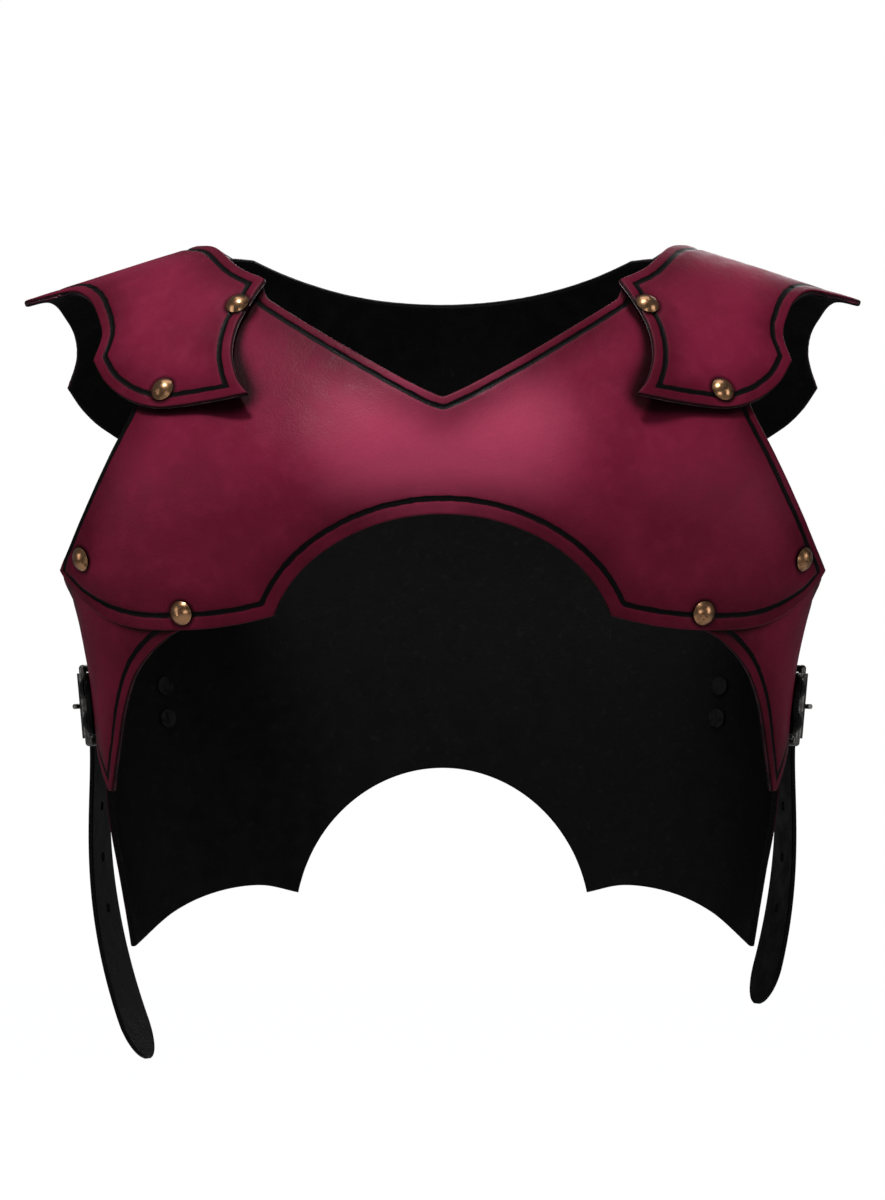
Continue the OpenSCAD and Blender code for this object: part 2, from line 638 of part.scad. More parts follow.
module breast_plate() {
    color(red) difference() {
        sheet(breast_grid(), 0, plate_high);
        front_places(front_rivets) punch();
        front_places(flank_rivet_list) punch();
    }
}
module back_plate() {
    color(red) difference() {
        sheet(back_grid(), 0, plate_high);
        rear_places(back_rivets) punch();
        chape_places() punch();
    }
}
module saddle() {
    color(red) difference() {
        sheet(saddle_grid(), saddle_low, saddle_high);
        for (p = front_rivets) at_torso(p[0], p[1]) punch();
        for (p = back_rivets) at_torso(180 - p[0], p[1]) punch();
    }
}
module flank() {
    color(red) difference() {
        sheet(flank_grid(), under_low, under_high);
        for (p = flank_rivet_list) at_torso(p[0], p[1]) punch();
        for (p = strap_rivet_list) at_torso(p[0], p[1]) punch();
    }
}
module left_shoulder() { saddle(); }
module right_shoulder() { mirror([1, 0, 0]) saddle(); }
module left_flank() { flank(); }
module right_flank() { mirror([1, 0, 0]) flank(); }
module left_strap() { color(black) strap(); }
module right_strap() { mirror([1, 0, 0]) color(black) strap(); }
module left_tail() { color(black) tail(left_tail_len); }
module right_tail() { mirror([1, 0, 0]) color(black) tail(right_tail_len); }
module left_chape() { color(black) chape(); }
module right_chape() { mirror([1, 0, 0]) color(black) chape(); }
module left_buckle_frame() { color(steel) buckle_frame(); }
module right_buckle_frame() { mirror([1, 0, 0]) color(steel) buckle_frame(); }
module left_prong() { color(steel) prong(); }
module right_prong() { mirror([1, 0, 0]) color(steel) prong(); }
module left_roller() { color(steel) roller(); }
module right_roller() { mirror([1, 0, 0]) color(steel) roller(); }
module front_shoulder_rivets() { color(brass) front_places(front_rivets) rivet(0, saddle_high); }
module back_shoulder_rivets() { color(brass) rear_places(back_rivets) rivet(0, saddle_high); }
module flank_rivets() { color(brass) front_places(flank_rivet_list) rivet(under_low, plate_high); }
module strap_rivets() { color(steel) front_places(strap_rivet_list) rivet(under_low, strap_t); }
module chape_rivets() { color(steel) chape_places() rivet(0, chape_high + chape_t / 2); }

breast_plate();
back_plate();
left_shoulder();
right_shoulder();
left_flank();
right_flank();
left_strap();
right_strap();
left_tail();
right_tail();
left_chape();
right_chape();
left_buckle_frame();
right_buckle_frame();
left_prong();
right_prong();
left_roller();
right_roller();
front_shoulder_rivets();
back_shoulder_rivets();
flank_rivets();
strap_rivets();
chape_rivets();
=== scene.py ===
"""Looks of a short leather breastplate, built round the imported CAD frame.

The plates, saddles and flank panels are rebuilt here as finely divided leather
with rounded edges, a carved line along the border and dips round the rivets, and
the straps, chapes and tails as strips with rounded edges. Sizes are in
millimetres and repeat the driving sizes of the CAD source.
"""

import json
import math

import bmesh
import bpy
import numpy as np
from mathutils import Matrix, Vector, kdtree, noise


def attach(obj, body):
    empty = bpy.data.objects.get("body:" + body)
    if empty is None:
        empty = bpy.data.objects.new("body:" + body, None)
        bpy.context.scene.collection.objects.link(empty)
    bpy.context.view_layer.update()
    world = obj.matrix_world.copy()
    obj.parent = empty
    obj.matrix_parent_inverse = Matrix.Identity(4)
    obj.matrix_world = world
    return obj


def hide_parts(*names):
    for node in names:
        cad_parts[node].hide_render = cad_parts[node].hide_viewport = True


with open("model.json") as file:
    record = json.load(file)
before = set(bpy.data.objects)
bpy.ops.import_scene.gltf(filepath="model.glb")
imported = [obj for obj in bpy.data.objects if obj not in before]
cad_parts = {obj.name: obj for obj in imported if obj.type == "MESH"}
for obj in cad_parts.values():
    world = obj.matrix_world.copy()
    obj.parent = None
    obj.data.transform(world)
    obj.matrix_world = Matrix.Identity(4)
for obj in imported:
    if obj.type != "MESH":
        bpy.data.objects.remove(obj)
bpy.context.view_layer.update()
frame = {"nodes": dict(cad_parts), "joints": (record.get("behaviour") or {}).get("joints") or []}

MM = 0.001

# Leather layers
LEATHER_T = 3.5
LAYER_GAP = 0.3
BEND_ROOM = 0.5
STRAP_T = 2.4
UNDER_HIGH = -LAYER_GAP - BEND_ROOM
UNDER_LOW = UNDER_HIGH - LEATHER_T
SADDLE_LOW = LEATHER_T + 2.3 * LAYER_GAP
SADDLE_HIGH = SADDLE_LOW + LEATHER_T

# Form of the body
SHOULDER_HALF_W = 213
CHEST_HALF_W = 188
WAIST_HALF_W = 171
HIP_HALF_W = 155
CHEST_DEPTH = 112
BACK_DEPTH = 96
SHOULDER_DROP = 130
SHOULDER_SLOPE = 0.318
BUST_OUT = 9
FORM_POWER = 2.4
SHOULDER_POWER = 1.7
RIDGE_HALF_W = 114
ARMHOLE_Z = 159
BUST_X = 70
BUST_Z = 122
BUST_HALF_W = 50
BUST_HALF_H = 42
BACK_TUCK = 4
BACK_POINT_Z = 345
STRAP_W = 30
STRAP_Z = 225
WAIST_DEPTH = CHEST_DEPTH - 12
LOIN_DEPTH = BACK_DEPTH - 10
WIDTH_TABLE = [
    (-BACK_POINT_Z, HIP_HALF_W), (-STRAP_Z - 50, WAIST_HALF_W - 5), (-STRAP_Z, WAIST_HALF_W),
    (-ARMHOLE_Z - 44, WAIST_HALF_W + 3), (-ARMHOLE_Z - 15, CHEST_HALF_W - 7),
    (-ARMHOLE_Z, CHEST_HALF_W), (-60, SHOULDER_HALF_W - 4), (40, SHOULDER_HALF_W),
]
TUCK_TABLE = [
    (-BACK_POINT_Z, 0), (-STRAP_Z - 50, BACK_TUCK / 2), (-STRAP_Z - 20, BACK_TUCK),
    (-STRAP_Z + 20, BACK_TUCK), (-ARMHOLE_Z, 0), (40, 0),
]
FRONT_TABLE = [(-STRAP_Z, WAIST_DEPTH), (-BUST_Z, CHEST_DEPTH), (40, CHEST_DEPTH)]
BACK_TABLE = [
    (-BACK_POINT_Z, BACK_DEPTH), (-STRAP_Z - 20, LOIN_DEPTH), (-BUST_Z, BACK_DEPTH),
    (40, BACK_DEPTH),
]


def table_value(table, key):
    """Smooth values from a table of rising keys, as in the CAD source."""
    keys = np.array([row[0] for row in table], float)
    values = np.array([row[1] for row in table], float)
    k = np.clip(np.asarray(key, float), keys[0], keys[-1])
    i = np.clip(np.searchsorted(keys, k, side="left") - 1, 0, len(keys) - 2)
    low = np.maximum(np.arange(len(keys)) - 1, 0)
    high = np.minimum(np.arange(len(keys)) + 1, len(keys) - 1)
    slopes = (values[high] - values[low]) / (keys[high] - keys[low])
    span = keys[i + 1] - keys[i]
    t = (k - keys[i]) / span
    return (
        values[i] * (2 * t**3 - 3 * t**2 + 1) + slopes[i] * span * (t**3 - 2 * t**2 + t)
        + values[i + 1] * (3 * t**2 - 2 * t**3) + slopes[i + 1] * span * (t**3 - t**2)
    )


def curve(points, t):
    """Smooth curve through a few points, for each t from 0 to 1."""
    p = np.asarray(points, float)
    p = np.vstack([2 * p[0] - p[1], p, 2 * p[-1] - p[-2]])
    n = len(points) - 1
    t = np.clip(np.asarray(t, float), 0, 1)
    i = np.minimum(np.floor(t * n).astype(int), n - 1)
    f = (t * n - i)[..., None]
    p0, p1, p2, p3 = p[i], p[i + 1], p[i + 2], p[i + 3]
    return 0.5 * (
        2 * p1 + (p2 - p0) * f + (2 * p0 - 5 * p1 + 4 * p2 - p3) * f**2
        + (3 * p1 - p0 - 3 * p2 + p3) * f**3
    )


def half_w(z):
    """Half width of the form at a level."""
    return table_value(WIDTH_TABLE, z)


def ridge_z(x):
    """Level of the shoulder ridge at a half width."""
    return (RIDGE_HALF_W - np.abs(x)) * SHOULDER_SLOPE - 2 * LEATHER_T - LAYER_GAP


def rise(drop):
    """Share of the full depth at a drop below the ridge, where the shoulder rounds over."""
    left = 1 - np.clip(drop / SHOULDER_DROP, 0, 1)
    return (1 - left**SHOULDER_POWER) ** (1 / SHOULDER_POWER)


def form_depth(x, z, rear):
    """Depth of the form at its middle, with the swell of the chest in front."""
    bust = BUST_OUT * np.exp(
        -(((np.abs(x) - BUST_X) / BUST_HALF_W) ** 2) - ((z + BUST_Z) / BUST_HALF_H) ** 2
    )
    return np.where(rear, table_value(BACK_TABLE, z), table_value(FRONT_TABLE, z) + bust)


def torso(cells):
    """Points of the form from [angle round the body, level] pairs."""
    angle, z = np.radians(cells[..., 0]), cells[..., 1]
    s = np.abs(np.sin(angle)) ** (2 / FORM_POWER) * np.sign(np.sin(angle))
    c = np.abs(np.cos(angle)) ** (2 / FORM_POWER)
    rear = np.cos(angle) < 0
    tuck = np.where(rear, table_value(TUCK_TABLE, z) * (1 - (1 - c) ** 4), 0)
    x = (half_w(z) - tuck) * s
    y = np.where(rear, 1, -1) * form_depth(x, z, rear) * c * rise(ridge_z(x) - z)
    return np.stack([x, y, z], -1)


def shoulder(cells):
    """Points of the form from [half width, angle over the shoulder] pairs."""
    x, over = cells[..., 0], np.radians(cells[..., 1])
    drop = SHOULDER_DROP * (1 - np.abs(np.cos(over)) ** (2 / SHOULDER_POWER))
    z = ridge_z(x) - drop
    rear = over >= 0
    c = (1 - np.clip(np.abs(x) / half_w(z), 0, 1) ** FORM_POWER) ** (1 / FORM_POWER)
    y = np.where(rear, 1, -1) * form_depth(x, z, rear) * c * rise(drop)
    return np.stack([x, y, z], -1)


def wrapped(points):
    """[angle, level] pairs from [half width, level] pairs."""
    p = np.asarray(points, float)
    share = np.clip(np.abs(p[..., 0]) / half_w(p[..., 1]), 0, 1)
    return np.stack([np.degrees(np.arcsin(share ** (FORM_POWER / 2))), p[..., 1]], -1)


def over_shoulder(points):
    """[half width, angle over the shoulder] pairs from [half width, level] pairs."""
    p = np.asarray(points, float)
    left = 1 - np.clip((ridge_z(p[..., 0]) - p[..., 1]) / SHOULDER_DROP, 0, 1)
    return np.stack([p[..., 0], np.degrees(np.arccos(left ** (SHOULDER_POWER / 2)))], -1)


def patch(top, bottom, left, right, u, v, power):
    """Blend of four edge curves into a grid of cells, rows from top to bottom."""
    u = u[None, :, None]
    v = v[:, None, None]
    left_bend = left[:, None] - (top[0] * (1 - v) + bottom[0] * v)
    right_bend = right[:, None] - (top[-1] * (1 - v) + bottom[-1] * v)
    share = u**power
    return top[None] * (1 - v) + bottom[None] * v + left_bend * (1 - share) + right_bend * share


# Grids of the leather: rough widths and heights, and rows that crowd beside an edge
BREAST_GRID = (200, 150)
BACK_GRID = (230, 250)
SADDLE_GRID = (90, 135)
FLANK_GRID = (85, 110)
EDGE_ROWS = [0, 0.2, 0.5, 0.9, 1.4]
EDGE_FROM = 2
EDGE_REACH = 11
EDGE_STEP = 0.8
GRID_STEP = 2
BACK_GRID_STEP = 2.6


def crowded(length, step, start, end):
    """Parameters from 0 to 1 along a length, close together where it meets an edge."""
    near = np.concatenate([EDGE_ROWS, np.arange(EDGE_FROM, EDGE_REACH, EDGE_STEP)])
    low = near if start else np.zeros(1)
    high = length - (near if end else np.zeros(1))[::-1]
    middle = np.linspace(low[-1], high[0], max(2, round((high[0] - low[-1]) / step)) + 1)
    return np.concatenate([low[:-1], middle, high[1:]]) / length


# Outlines of the plates, as [half width, level] points
# How much of its ellipse an arch takes, how the neck edges bend, and the neck's part of a saddle
FRONT_ARCH_SHARE = 0.97
BACK_ARCH_SHARE = 0.98
V_EDGE_POWER = 1.15
NECK_EDGE_POWER = 2.2
NECK_SHARE = 0.3
# The breast plate, from the V at the neck to the arch over the belly
NECK_V_Z = 80
NECK_V_HALF_W = 82
NECK_V_TOP_Z = 33
FRONT_ARCH_Z = 134
FRONT_ARCH_HALF_W = 78
FRONT_LOBE_Z = 188
LOBE_CORNER_Z = FRONT_LOBE_Z - 7
LOBE_MID_X = 125
FRONT_CORNER_HALF_W = 181
EAR_CORNER = (132, -36.5)
EAR_SIDE = (143, -79)
EAR_HIGH_Z = 17
# The back plate
BACK_NECK_Z = 27
BACK_EAR_X = 92
BACK_EAR_Z = 9
BACK_EAR_CORNER = (125, -21)
BACK_ARCH_Z = 259
BACK_ARCH_HALF_W = 73
BACK_ARCH_DROP = 63
SIDE_EDGE_ANGLE = 77
# The saddles over the shoulders, and the flank panels under the arms
SADDLE_NECK_X = 117
SADDLE_TIP_X = 202
SADDLE_TIP_Z = float(ridge_z(SADDLE_TIP_X))
HORN_DROP = 1.5
NECK_CORNER = (82, -26.5)
FLARE = (88.5, -81)
FLARE_OUT = 8.5
FLARE_REACH = 18
FRONT_HORN = (163.3, -63.4)
REAR_FOOT = (92, -96)
REAR_HORN = (182.5, -71)
FLANK_TIP_Z = -266


def two_runs(first, second, u):
    """Samples of an edge that has a corner half way along it."""
    before, after = np.clip(2 * u, 0, 1), np.clip(2 * u - 1, 0, 1)
    return np.where((u <= 0.5)[:, None], first(before), second(after))


def straight(start, end, t):
    """Places along a straight line."""
    t = t[:, None]
    return np.asarray(start, float) * (1 - t) + np.asarray(end, float) * t


def with_mirror(half):
    """The grid of both halves from the grid of one, whose first column is the centre line."""
    return np.concatenate([half[:, :0:-1] * [-1, 1], half], 1)


def v_edge(t):
    rise_z = (NECK_V_Z - NECK_V_TOP_Z) * t**V_EDGE_POWER
    return np.stack([NECK_V_HALF_W * t, -NECK_V_Z + rise_z], -1)


def breast_ear(t):
    return curve([
        (NECK_V_HALF_W, -NECK_V_TOP_Z), (NECK_V_HALF_W + 7, -EAR_HIGH_Z - 4), (106, -EAR_HIGH_Z),
        (124, -EAR_HIGH_Z - 8), EAR_CORNER,
    ], t)


def arch(half_width, crown_z, drop, share, t):
    """A quarter of an ellipse from the crown to the corner of an arch."""
    s = np.sin(np.radians(90) * t)
    fall = (1 - np.sqrt(1 - (share * s) ** 2)) / (1 - math.sqrt(1 - share * share))
    return np.stack([half_width * s, -crown_z - drop * fall], -1)


def front_arch(t):
    drop = LOBE_CORNER_Z - FRONT_ARCH_Z
    return arch(FRONT_ARCH_HALF_W, FRONT_ARCH_Z, drop, FRONT_ARCH_SHARE, t)


def breast_lobe(t):
    x = FRONT_ARCH_HALF_W + (FRONT_CORNER_HALF_W - FRONT_ARCH_HALF_W) * t
    near_share = (LOBE_MID_X - x) / (LOBE_MID_X - FRONT_ARCH_HALF_W)
    far_share = (x - LOBE_MID_X) / (FRONT_CORNER_HALF_W - LOBE_MID_X)
    near = (FRONT_LOBE_Z - LOBE_CORNER_Z) * near_share**2
    far = (FRONT_LOBE_Z - ARMHOLE_Z) * np.abs(far_share) ** 3
    return np.stack([x, np.where(x < LOBE_MID_X, near, far) - FRONT_LOBE_Z], -1)


def breast_cells():
    u = crowded(BREAST_GRID[0], GRID_STEP, False, True)
    v = crowded(BREAST_GRID[1], GRID_STEP, True, True)
    centre = straight((0, -NECK_V_Z), (0, -FRONT_ARCH_Z), v)
    side = curve(np.vstack([
        [EAR_CORNER, (138, -51)],
        straight(EAR_SIDE, (FRONT_CORNER_HALF_W, -ARMHOLE_Z), np.linspace(0, 1, 4))]), v)
    top = wrapped(two_runs(v_edge, breast_ear, u))
    bottom = wrapped(two_runs(front_arch, breast_lobe, u))
    return with_mirror(patch(top, bottom, centre, wrapped(side), u, v, 2))


def back_neck(t):
    rise_z = (BACK_NECK_Z - BACK_EAR_Z) * t**NECK_EDGE_POWER
    return np.stack([BACK_EAR_X * t, rise_z - BACK_NECK_Z], -1)


def back_ear(t):
    return curve([(BACK_EAR_X, -BACK_EAR_Z), (104, -BACK_EAR_Z), (115, -13), BACK_EAR_CORNER], t)


def back_arch(t):
    return arch(BACK_ARCH_HALF_W, BACK_ARCH_Z, BACK_ARCH_DROP, BACK_ARCH_SHARE, t)


def back_hem(t):
    cusp = (BACK_ARCH_HALF_W, -BACK_ARCH_Z - BACK_ARCH_DROP)
    return curve([cusp, (92, -318), (114, -321), (134, -330), (151, -BACK_POINT_Z)], t)


def back_cells():
    u = crowded(BACK_GRID[0], BACK_GRID_STEP, False, True)
    v = crowded(BACK_GRID[1], BACK_GRID_STEP, True, True)
    side = np.vstack([
        wrapped([BACK_EAR_CORNER, (138, -50), (147, -88), (156, -116), (168, -140)]),
        [(SIDE_EDGE_ANGLE, -170), (SIDE_EDGE_ANGLE, -STRAP_Z)],
        [(SIDE_EDGE_ANGLE + 2, -275), (SIDE_EDGE_ANGLE, -310)], wrapped([(151, -BACK_POINT_Z)])])
    centre = straight((0, -BACK_NECK_Z), (0, -BACK_ARCH_Z), v)
    top = wrapped(two_runs(back_neck, back_ear, u))
    bottom = wrapped(two_runs(back_arch, back_hem, u))
    half = patch(top, bottom, centre, curve(side, v), u, v, 2)
    return with_mirror(half) + [180, 0]


def horn(x):
    """A place just below the ridge, on the narrow tip of a saddle."""
    return x, float(ridge_z(x)) - HORN_DROP


def saddle_half(neck, inner, outer, bottom):
    """One side of a saddle, in rows from the shoulder ridge down."""
    u = crowded(SADDLE_GRID[0], GRID_STEP, True, True)
    v = crowded(SADDLE_GRID[1], GRID_STEP, False, True)
    ridge = np.stack([SADDLE_NECK_X + (SADDLE_TIP_X - SADDLE_NECK_X) * u, 0 * u], -1)
    edge = np.where(
        (v <= NECK_SHARE)[:, None], curve(neck, np.clip(v / NECK_SHARE, 0, 1)),
        curve(inner, np.clip((v - NECK_SHARE) / (1 - NECK_SHARE), 0, 1)))
    return patch(
        ridge, over_shoulder(curve(bottom, u)), over_shoulder(edge),
        over_shoulder(curve(outer, v)), u, v, 1)


def saddle_cells():
    neck = (SADDLE_NECK_X, float(ridge_z(SADDLE_NECK_X)))
    tip = (SADDLE_TIP_X, SADDLE_TIP_Z)
    front = saddle_half(
        [neck, (107, -10), (95, -20.5), NECK_CORNER],
        [NECK_CORNER, (88.5, -36), (95, -48.5), (97, -61), (94, -73.4), FLARE],
        [tip, horn(187), (176, -30.5), (168, -34.5), (163, -42), (160, -52), FRONT_HORN],
        [FLARE, (107, -84), (130, -86), (144.5, -82.5), (156, -74.5), FRONT_HORN])
    rear = saddle_half(
        [neck, (109, -8), (100, -12), (92, -14)],
        [(92, -14), (97, -33), (100, -57), (99, -80), REAR_FOOT],
        [tip, horn(190), (183, -40), (179, -48), (178.5, -58), REAR_HORN],
        [REAR_FOOT, (120, -103), (148, -100), (165, -91), (175, -82), REAR_HORN])
    return np.concatenate([rear[:0:-1], front * [1, -1]], 0)


def flared_shoulder(cells):
    """The form under a saddle, whose lower inner corner stands off the plate beneath it."""
    points = shoulder(cells)
    far = np.hypot(points[..., 0] - FLARE[0], points[..., 2] - FLARE[1]) / FLARE_REACH
    points[..., 1] -= np.where(cells[..., 1] <= 0, FLARE_OUT * np.exp(-(far**2)), 0)
    return points


def flank_cells():
    u = crowded(FLANK_GRID[0], GRID_STEP, True, True)
    v = crowded(FLANK_GRID[1], GRID_STEP, True, True)
    front = wrapped([
        (104, -166), (109, -181), (131, -192.5), (146, -208), (153, -226), (156.5, -246),
        (159.5, FLANK_TIP_Z)])
    rear = np.vstack([
        [(99, -176), (102, -192), (101, -STRAP_Z + 15), (100, -STRAP_Z + 2), (94, -STRAP_Z - 12)],
        [(85, -STRAP_Z - 22)], wrapped([(161.5, FLANK_TIP_Z)])])
    top = np.vstack([wrapped([(104, -166), (140, -152), (171, -143)]), [(84, -167), (99, -176)]])
    bottom = straight(front[-1], rear[-1], u)
    return patch(curve(top, u), bottom, curve(front, v), curve(rear, v), u, v, 1)


def rivet_spots(pairs, rear):
    """Places on the form under rivets given as [half width, level], on both sides."""
    cells = wrapped(pairs)
    if rear:
        cells = cells * [-1, 1] + [180, 0]
    spots = torso(cells)
    return np.concatenate([spots, spots * [-1, 1, 1]])


FRONT_RIVETS = rivet_spots([(95, -38.5), (129, -78)], False)
FLANK_RIVETS = rivet_spots([(169.5, -154), (121.5, -179.5)], False)
BACK_RIVETS = rivet_spots([(104, -27), (136, -84)], True)
STRAP_RIVET_SIDE = 8
STRAP_RIVET_ANGLE = 90
CHAPE_RIVET_ANGLE = 127


def rivet_pairs(angle):
    """Places of the two rivets on each side that hold a strap at an angle round the body."""
    levels = (-STRAP_Z - STRAP_RIVET_SIDE, -STRAP_Z + STRAP_RIVET_SIDE)
    return torso(np.array([(side * angle, level) for side in (-1, 1) for level in levels], float))


STRAP_RIVETS = rivet_pairs(STRAP_RIVET_ANGLE)
CHAPE_RIVETS = rivet_pairs(CHAPE_RIVET_ANGLE)


# Leather sheets: rounded edges, a carved line along the border and dips round the rivets
EDGE_ROUND = 1.2
GROOVE_DEPTH = 0.55
GROOVE_HALF_W = 1.25
RIVET_R = 5.75
RIVET_RIM = 1
RIVET_SHADOW_W = 2.5
RIVET_DIP = 0.5
RIVET_DIP_W = 2.2
RIVET_FLAT = 14
WAVE = [(46, 0.5), (19, 0.14)]
BORDER_PITCH = 0.5
INSET_SMOOTH = 12
NORMAL_STEP = 0.2
FACE_SLOT = 0
LINING_SLOT = 1
RIM_SLOT = 2


def normals(form, cells):
    """Outward normals of the form at its cells."""
    normal = np.cross(
        form(cells + [NORMAL_STEP, 0]) - form(cells - [NORMAL_STEP, 0]),
        form(cells + [0, NORMAL_STEP]) - form(cells - [0, NORMAL_STEP]))
    return normal / np.linalg.norm(normal, axis=-1, keepdims=True)


def border_loop(grid):
    """The rim of a grid as one closed run."""
    return np.concatenate([grid[0, :-1], grid[:-1, -1], grid[-1, :0:-1], grid[:0:-1, 0]])


def finer_loop(loop, values):
    """The loop with points added where they are far apart, and its values between them."""
    closed = np.vstack([loop, loop[:1]])
    values = np.append(values, values[0])
    length = np.concatenate([[0], np.cumsum(np.linalg.norm(np.diff(closed, axis=0), axis=1))])
    place = np.arange(0, length[-1], BORDER_PITCH)
    points = np.stack([np.interp(place, length, closed[:, k]) for k in range(3)], -1)
    inset = np.interp(place, length, values)
    reach = round(INSET_SMOOTH / BORDER_PITCH)
    ring = np.concatenate([inset[-reach:], inset, inset[:reach]])
    return points, np.convolve(ring, np.ones(2 * reach + 1) / (2 * reach + 1), "valid")


def border_distance(grid, insets):
    """Distance of each grid point from the border, and from the carved line inside it."""
    rows, cols = grid.shape[:2]
    top, right, bottom, left = insets
    sides = np.empty((rows, cols))
    sides[:, -1] = right
    sides[:, 0] = left
    sides[0] = top
    sides[-1] = bottom
    points, inset = finer_loop(border_loop(grid), border_loop(sides))
    tree = kdtree.KDTree(len(points))
    for i, p in enumerate(points):
        tree.insert(p, i)
    tree.balance()
    found = [tree.find(p)[1:] for p in grid.reshape(-1, 3)]
    distance = np.array([f[1] for f in found])
    line = distance - inset[[f[0] for f in found]]
    # A border point lies on the border itself, also where the finer loop cuts its corner
    distance = distance.reshape(rows, cols)
    distance[0] = distance[-1] = distance[:, 0] = distance[:, -1] = 0
    return distance, line.reshape(rows, cols)


def wave(points):
    """Slight unevenness of leather shaped by hand, the same for layers that lie together."""
    flat = points.reshape(-1, 3)
    height = [sum(a * noise.noise(Vector(p / size)) for size, a in WAVE) for p in flat]
    return np.array(height).reshape(points.shape[:-1])


def smooth_step(value, low, high):
    """A smooth rise from 0 at the low value to 1 at the high one."""
    t = np.clip((value - low) / (high - low), 0, 1)
    return t * t * (3 - 2 * t)


def rounded(distance, radius):
    """Fall of a rounded edge at a distance from it."""
    t = 1 - np.clip(distance / radius, 0, 1)
    return radius * (1 - np.sqrt(1 - t * t))


def leather(name, form, cells, low, high, insets, rivets, turn=1, stood_off=None):
    """A piece of leather over cells of the form, with its outside red and its inside black.

    With turn -1 it is the mirror image, whose columns run the other way. The form that
    stands off in places gives the points, and the plain form the direction of thickness.
    """
    grid = ((stood_off or form)(cells) * [turn, 1, 1])[:, ::turn]
    normal = (normals(form, cells) * [turn, 1, 1])[:, ::turn]
    rows, cols = grid.shape[:2]
    distance, line = border_distance(grid, insets)
    near = np.min(np.linalg.norm(grid[:, :, None] - rivets, axis=-1), axis=-1)
    body = wave(grid) * smooth_step(near, RIVET_R + RIVET_RIM, RIVET_R + RIVET_FLAT)
    groove = GROOVE_DEPTH * np.exp(-((line / GROOVE_HALF_W) ** 2))
    dip = RIVET_DIP * np.exp(-(((near - RIVET_R - RIVET_RIM) / RIVET_DIP_W) ** 2))
    fall = rounded(distance, EDGE_ROUND)
    outer = grid + normal * (high + body - groove - dip - fall)[..., None]
    inner = grid + normal * (low + body + fall)[..., None]
    count = rows * cols
    index = np.arange(count).reshape(rows, cols)
    a, b = index[:-1, :-1].ravel(), index[:-1, 1:].ravel()
    c, d = index[1:, 1:].ravel(), index[1:, :-1].ravel()
    rim = border_loop(index)
    after = np.roll(rim, -1)
    faces = np.concatenate([
        np.stack([a, d, c, b], -1), np.stack([a, b, c, d], -1) + count,
        np.stack([rim, rim + count, after + count, after], -1)])
    mesh = bpy.data.meshes.new(name)
    mesh.from_pydata(np.concatenate([outer, inner]).reshape(-1, 3) * MM, [], faces.tolist())
    side_of_sheet = np.repeat([FACE_SLOT, LINING_SLOT, RIM_SLOT], [len(a), len(a), len(rim)])
    mesh.polygons.foreach_set("material_index", side_of_sheet.astype(np.int32))
    mesh.polygons.foreach_set("use_smooth", np.ones(len(faces), bool))
    for label, values in (("edge", distance), ("line", line), ("rivet", near)):
        attribute = mesh.attributes.new(label, "FLOAT", "POINT")
        both_faces = np.concatenate([values.ravel(), values.ravel()])
        attribute.data.foreach_set("value", both_faces.astype(np.float32))
    mesh.update()
    piece = bpy.data.objects.new(name, mesh)
    bpy.context.scene.collection.objects.link(piece)
    for material in (red_leather, black_lining, burnished_edge):
        mesh.materials.append(material)
    return piece


# Materials
NOISE_ROUGHNESS = 0.55
# The sockets of a Mix node that blends colours
MIX_SHARE = 0
MIX_FIRST = 6
MIX_SECOND = 7
MIX_RESULT = 2
# Sizes of the marks in the leather, in millimetres
BLOTCH = 38
PATCH = 22
MOTTLE = 9
LINE_WANDER = 5
SCUFF = 3
FIBRE = 2.2
GRAIN = 0.9
LINING_GRAIN = 1.1
# How far the carved line, the dark rim, the burnish and the shade of a crevice reach
CUT_HALF_W = 1.15
CUT_SOFT = 0.35
RIM_W = 0.2
RIM_SOFT = 0.5
BURNISH_FROM = 3
BURNISH_TO = 26
SHADE_REACH = 24
# The painted highlight on the middle of the chest, which ends where the front does
HIGHLIGHT_HALF_W = 50
HIGHLIGHT_HALF_H = 36
HIGHLIGHT_Z = 97
HIGHLIGHT_FRONT_Y = -50
HIGHLIGHT_BACK_Y = -40
HIGHLIGHT_SPREAD = 2.4
HIGHLIGHT_MOST = 0.85
# Sizes of the marks on cut edges and metal
EDGE_FIBRE = 0.6
EDGE_RUB = 6
PATINA = 4
TARNISH = 1.3
# Colours of the dye, and of the painted highlight and the painted shade
WINE = (0.14, 0.0085, 0.028)
WINE_BRIGHT = (0.21, 0.015, 0.048)
WINE_HIGHLIGHT = (0.34, 0.04, 0.088)
WINE_DARK = (0.118, 0.007, 0.023)
WINE_DEEP = (0.04, 0.0015, 0.006)
WINE_SHADE = (0.01, 0.0006, 0.0018)
DYE_BLACK = (0.002, 0.0014, 0.0016)


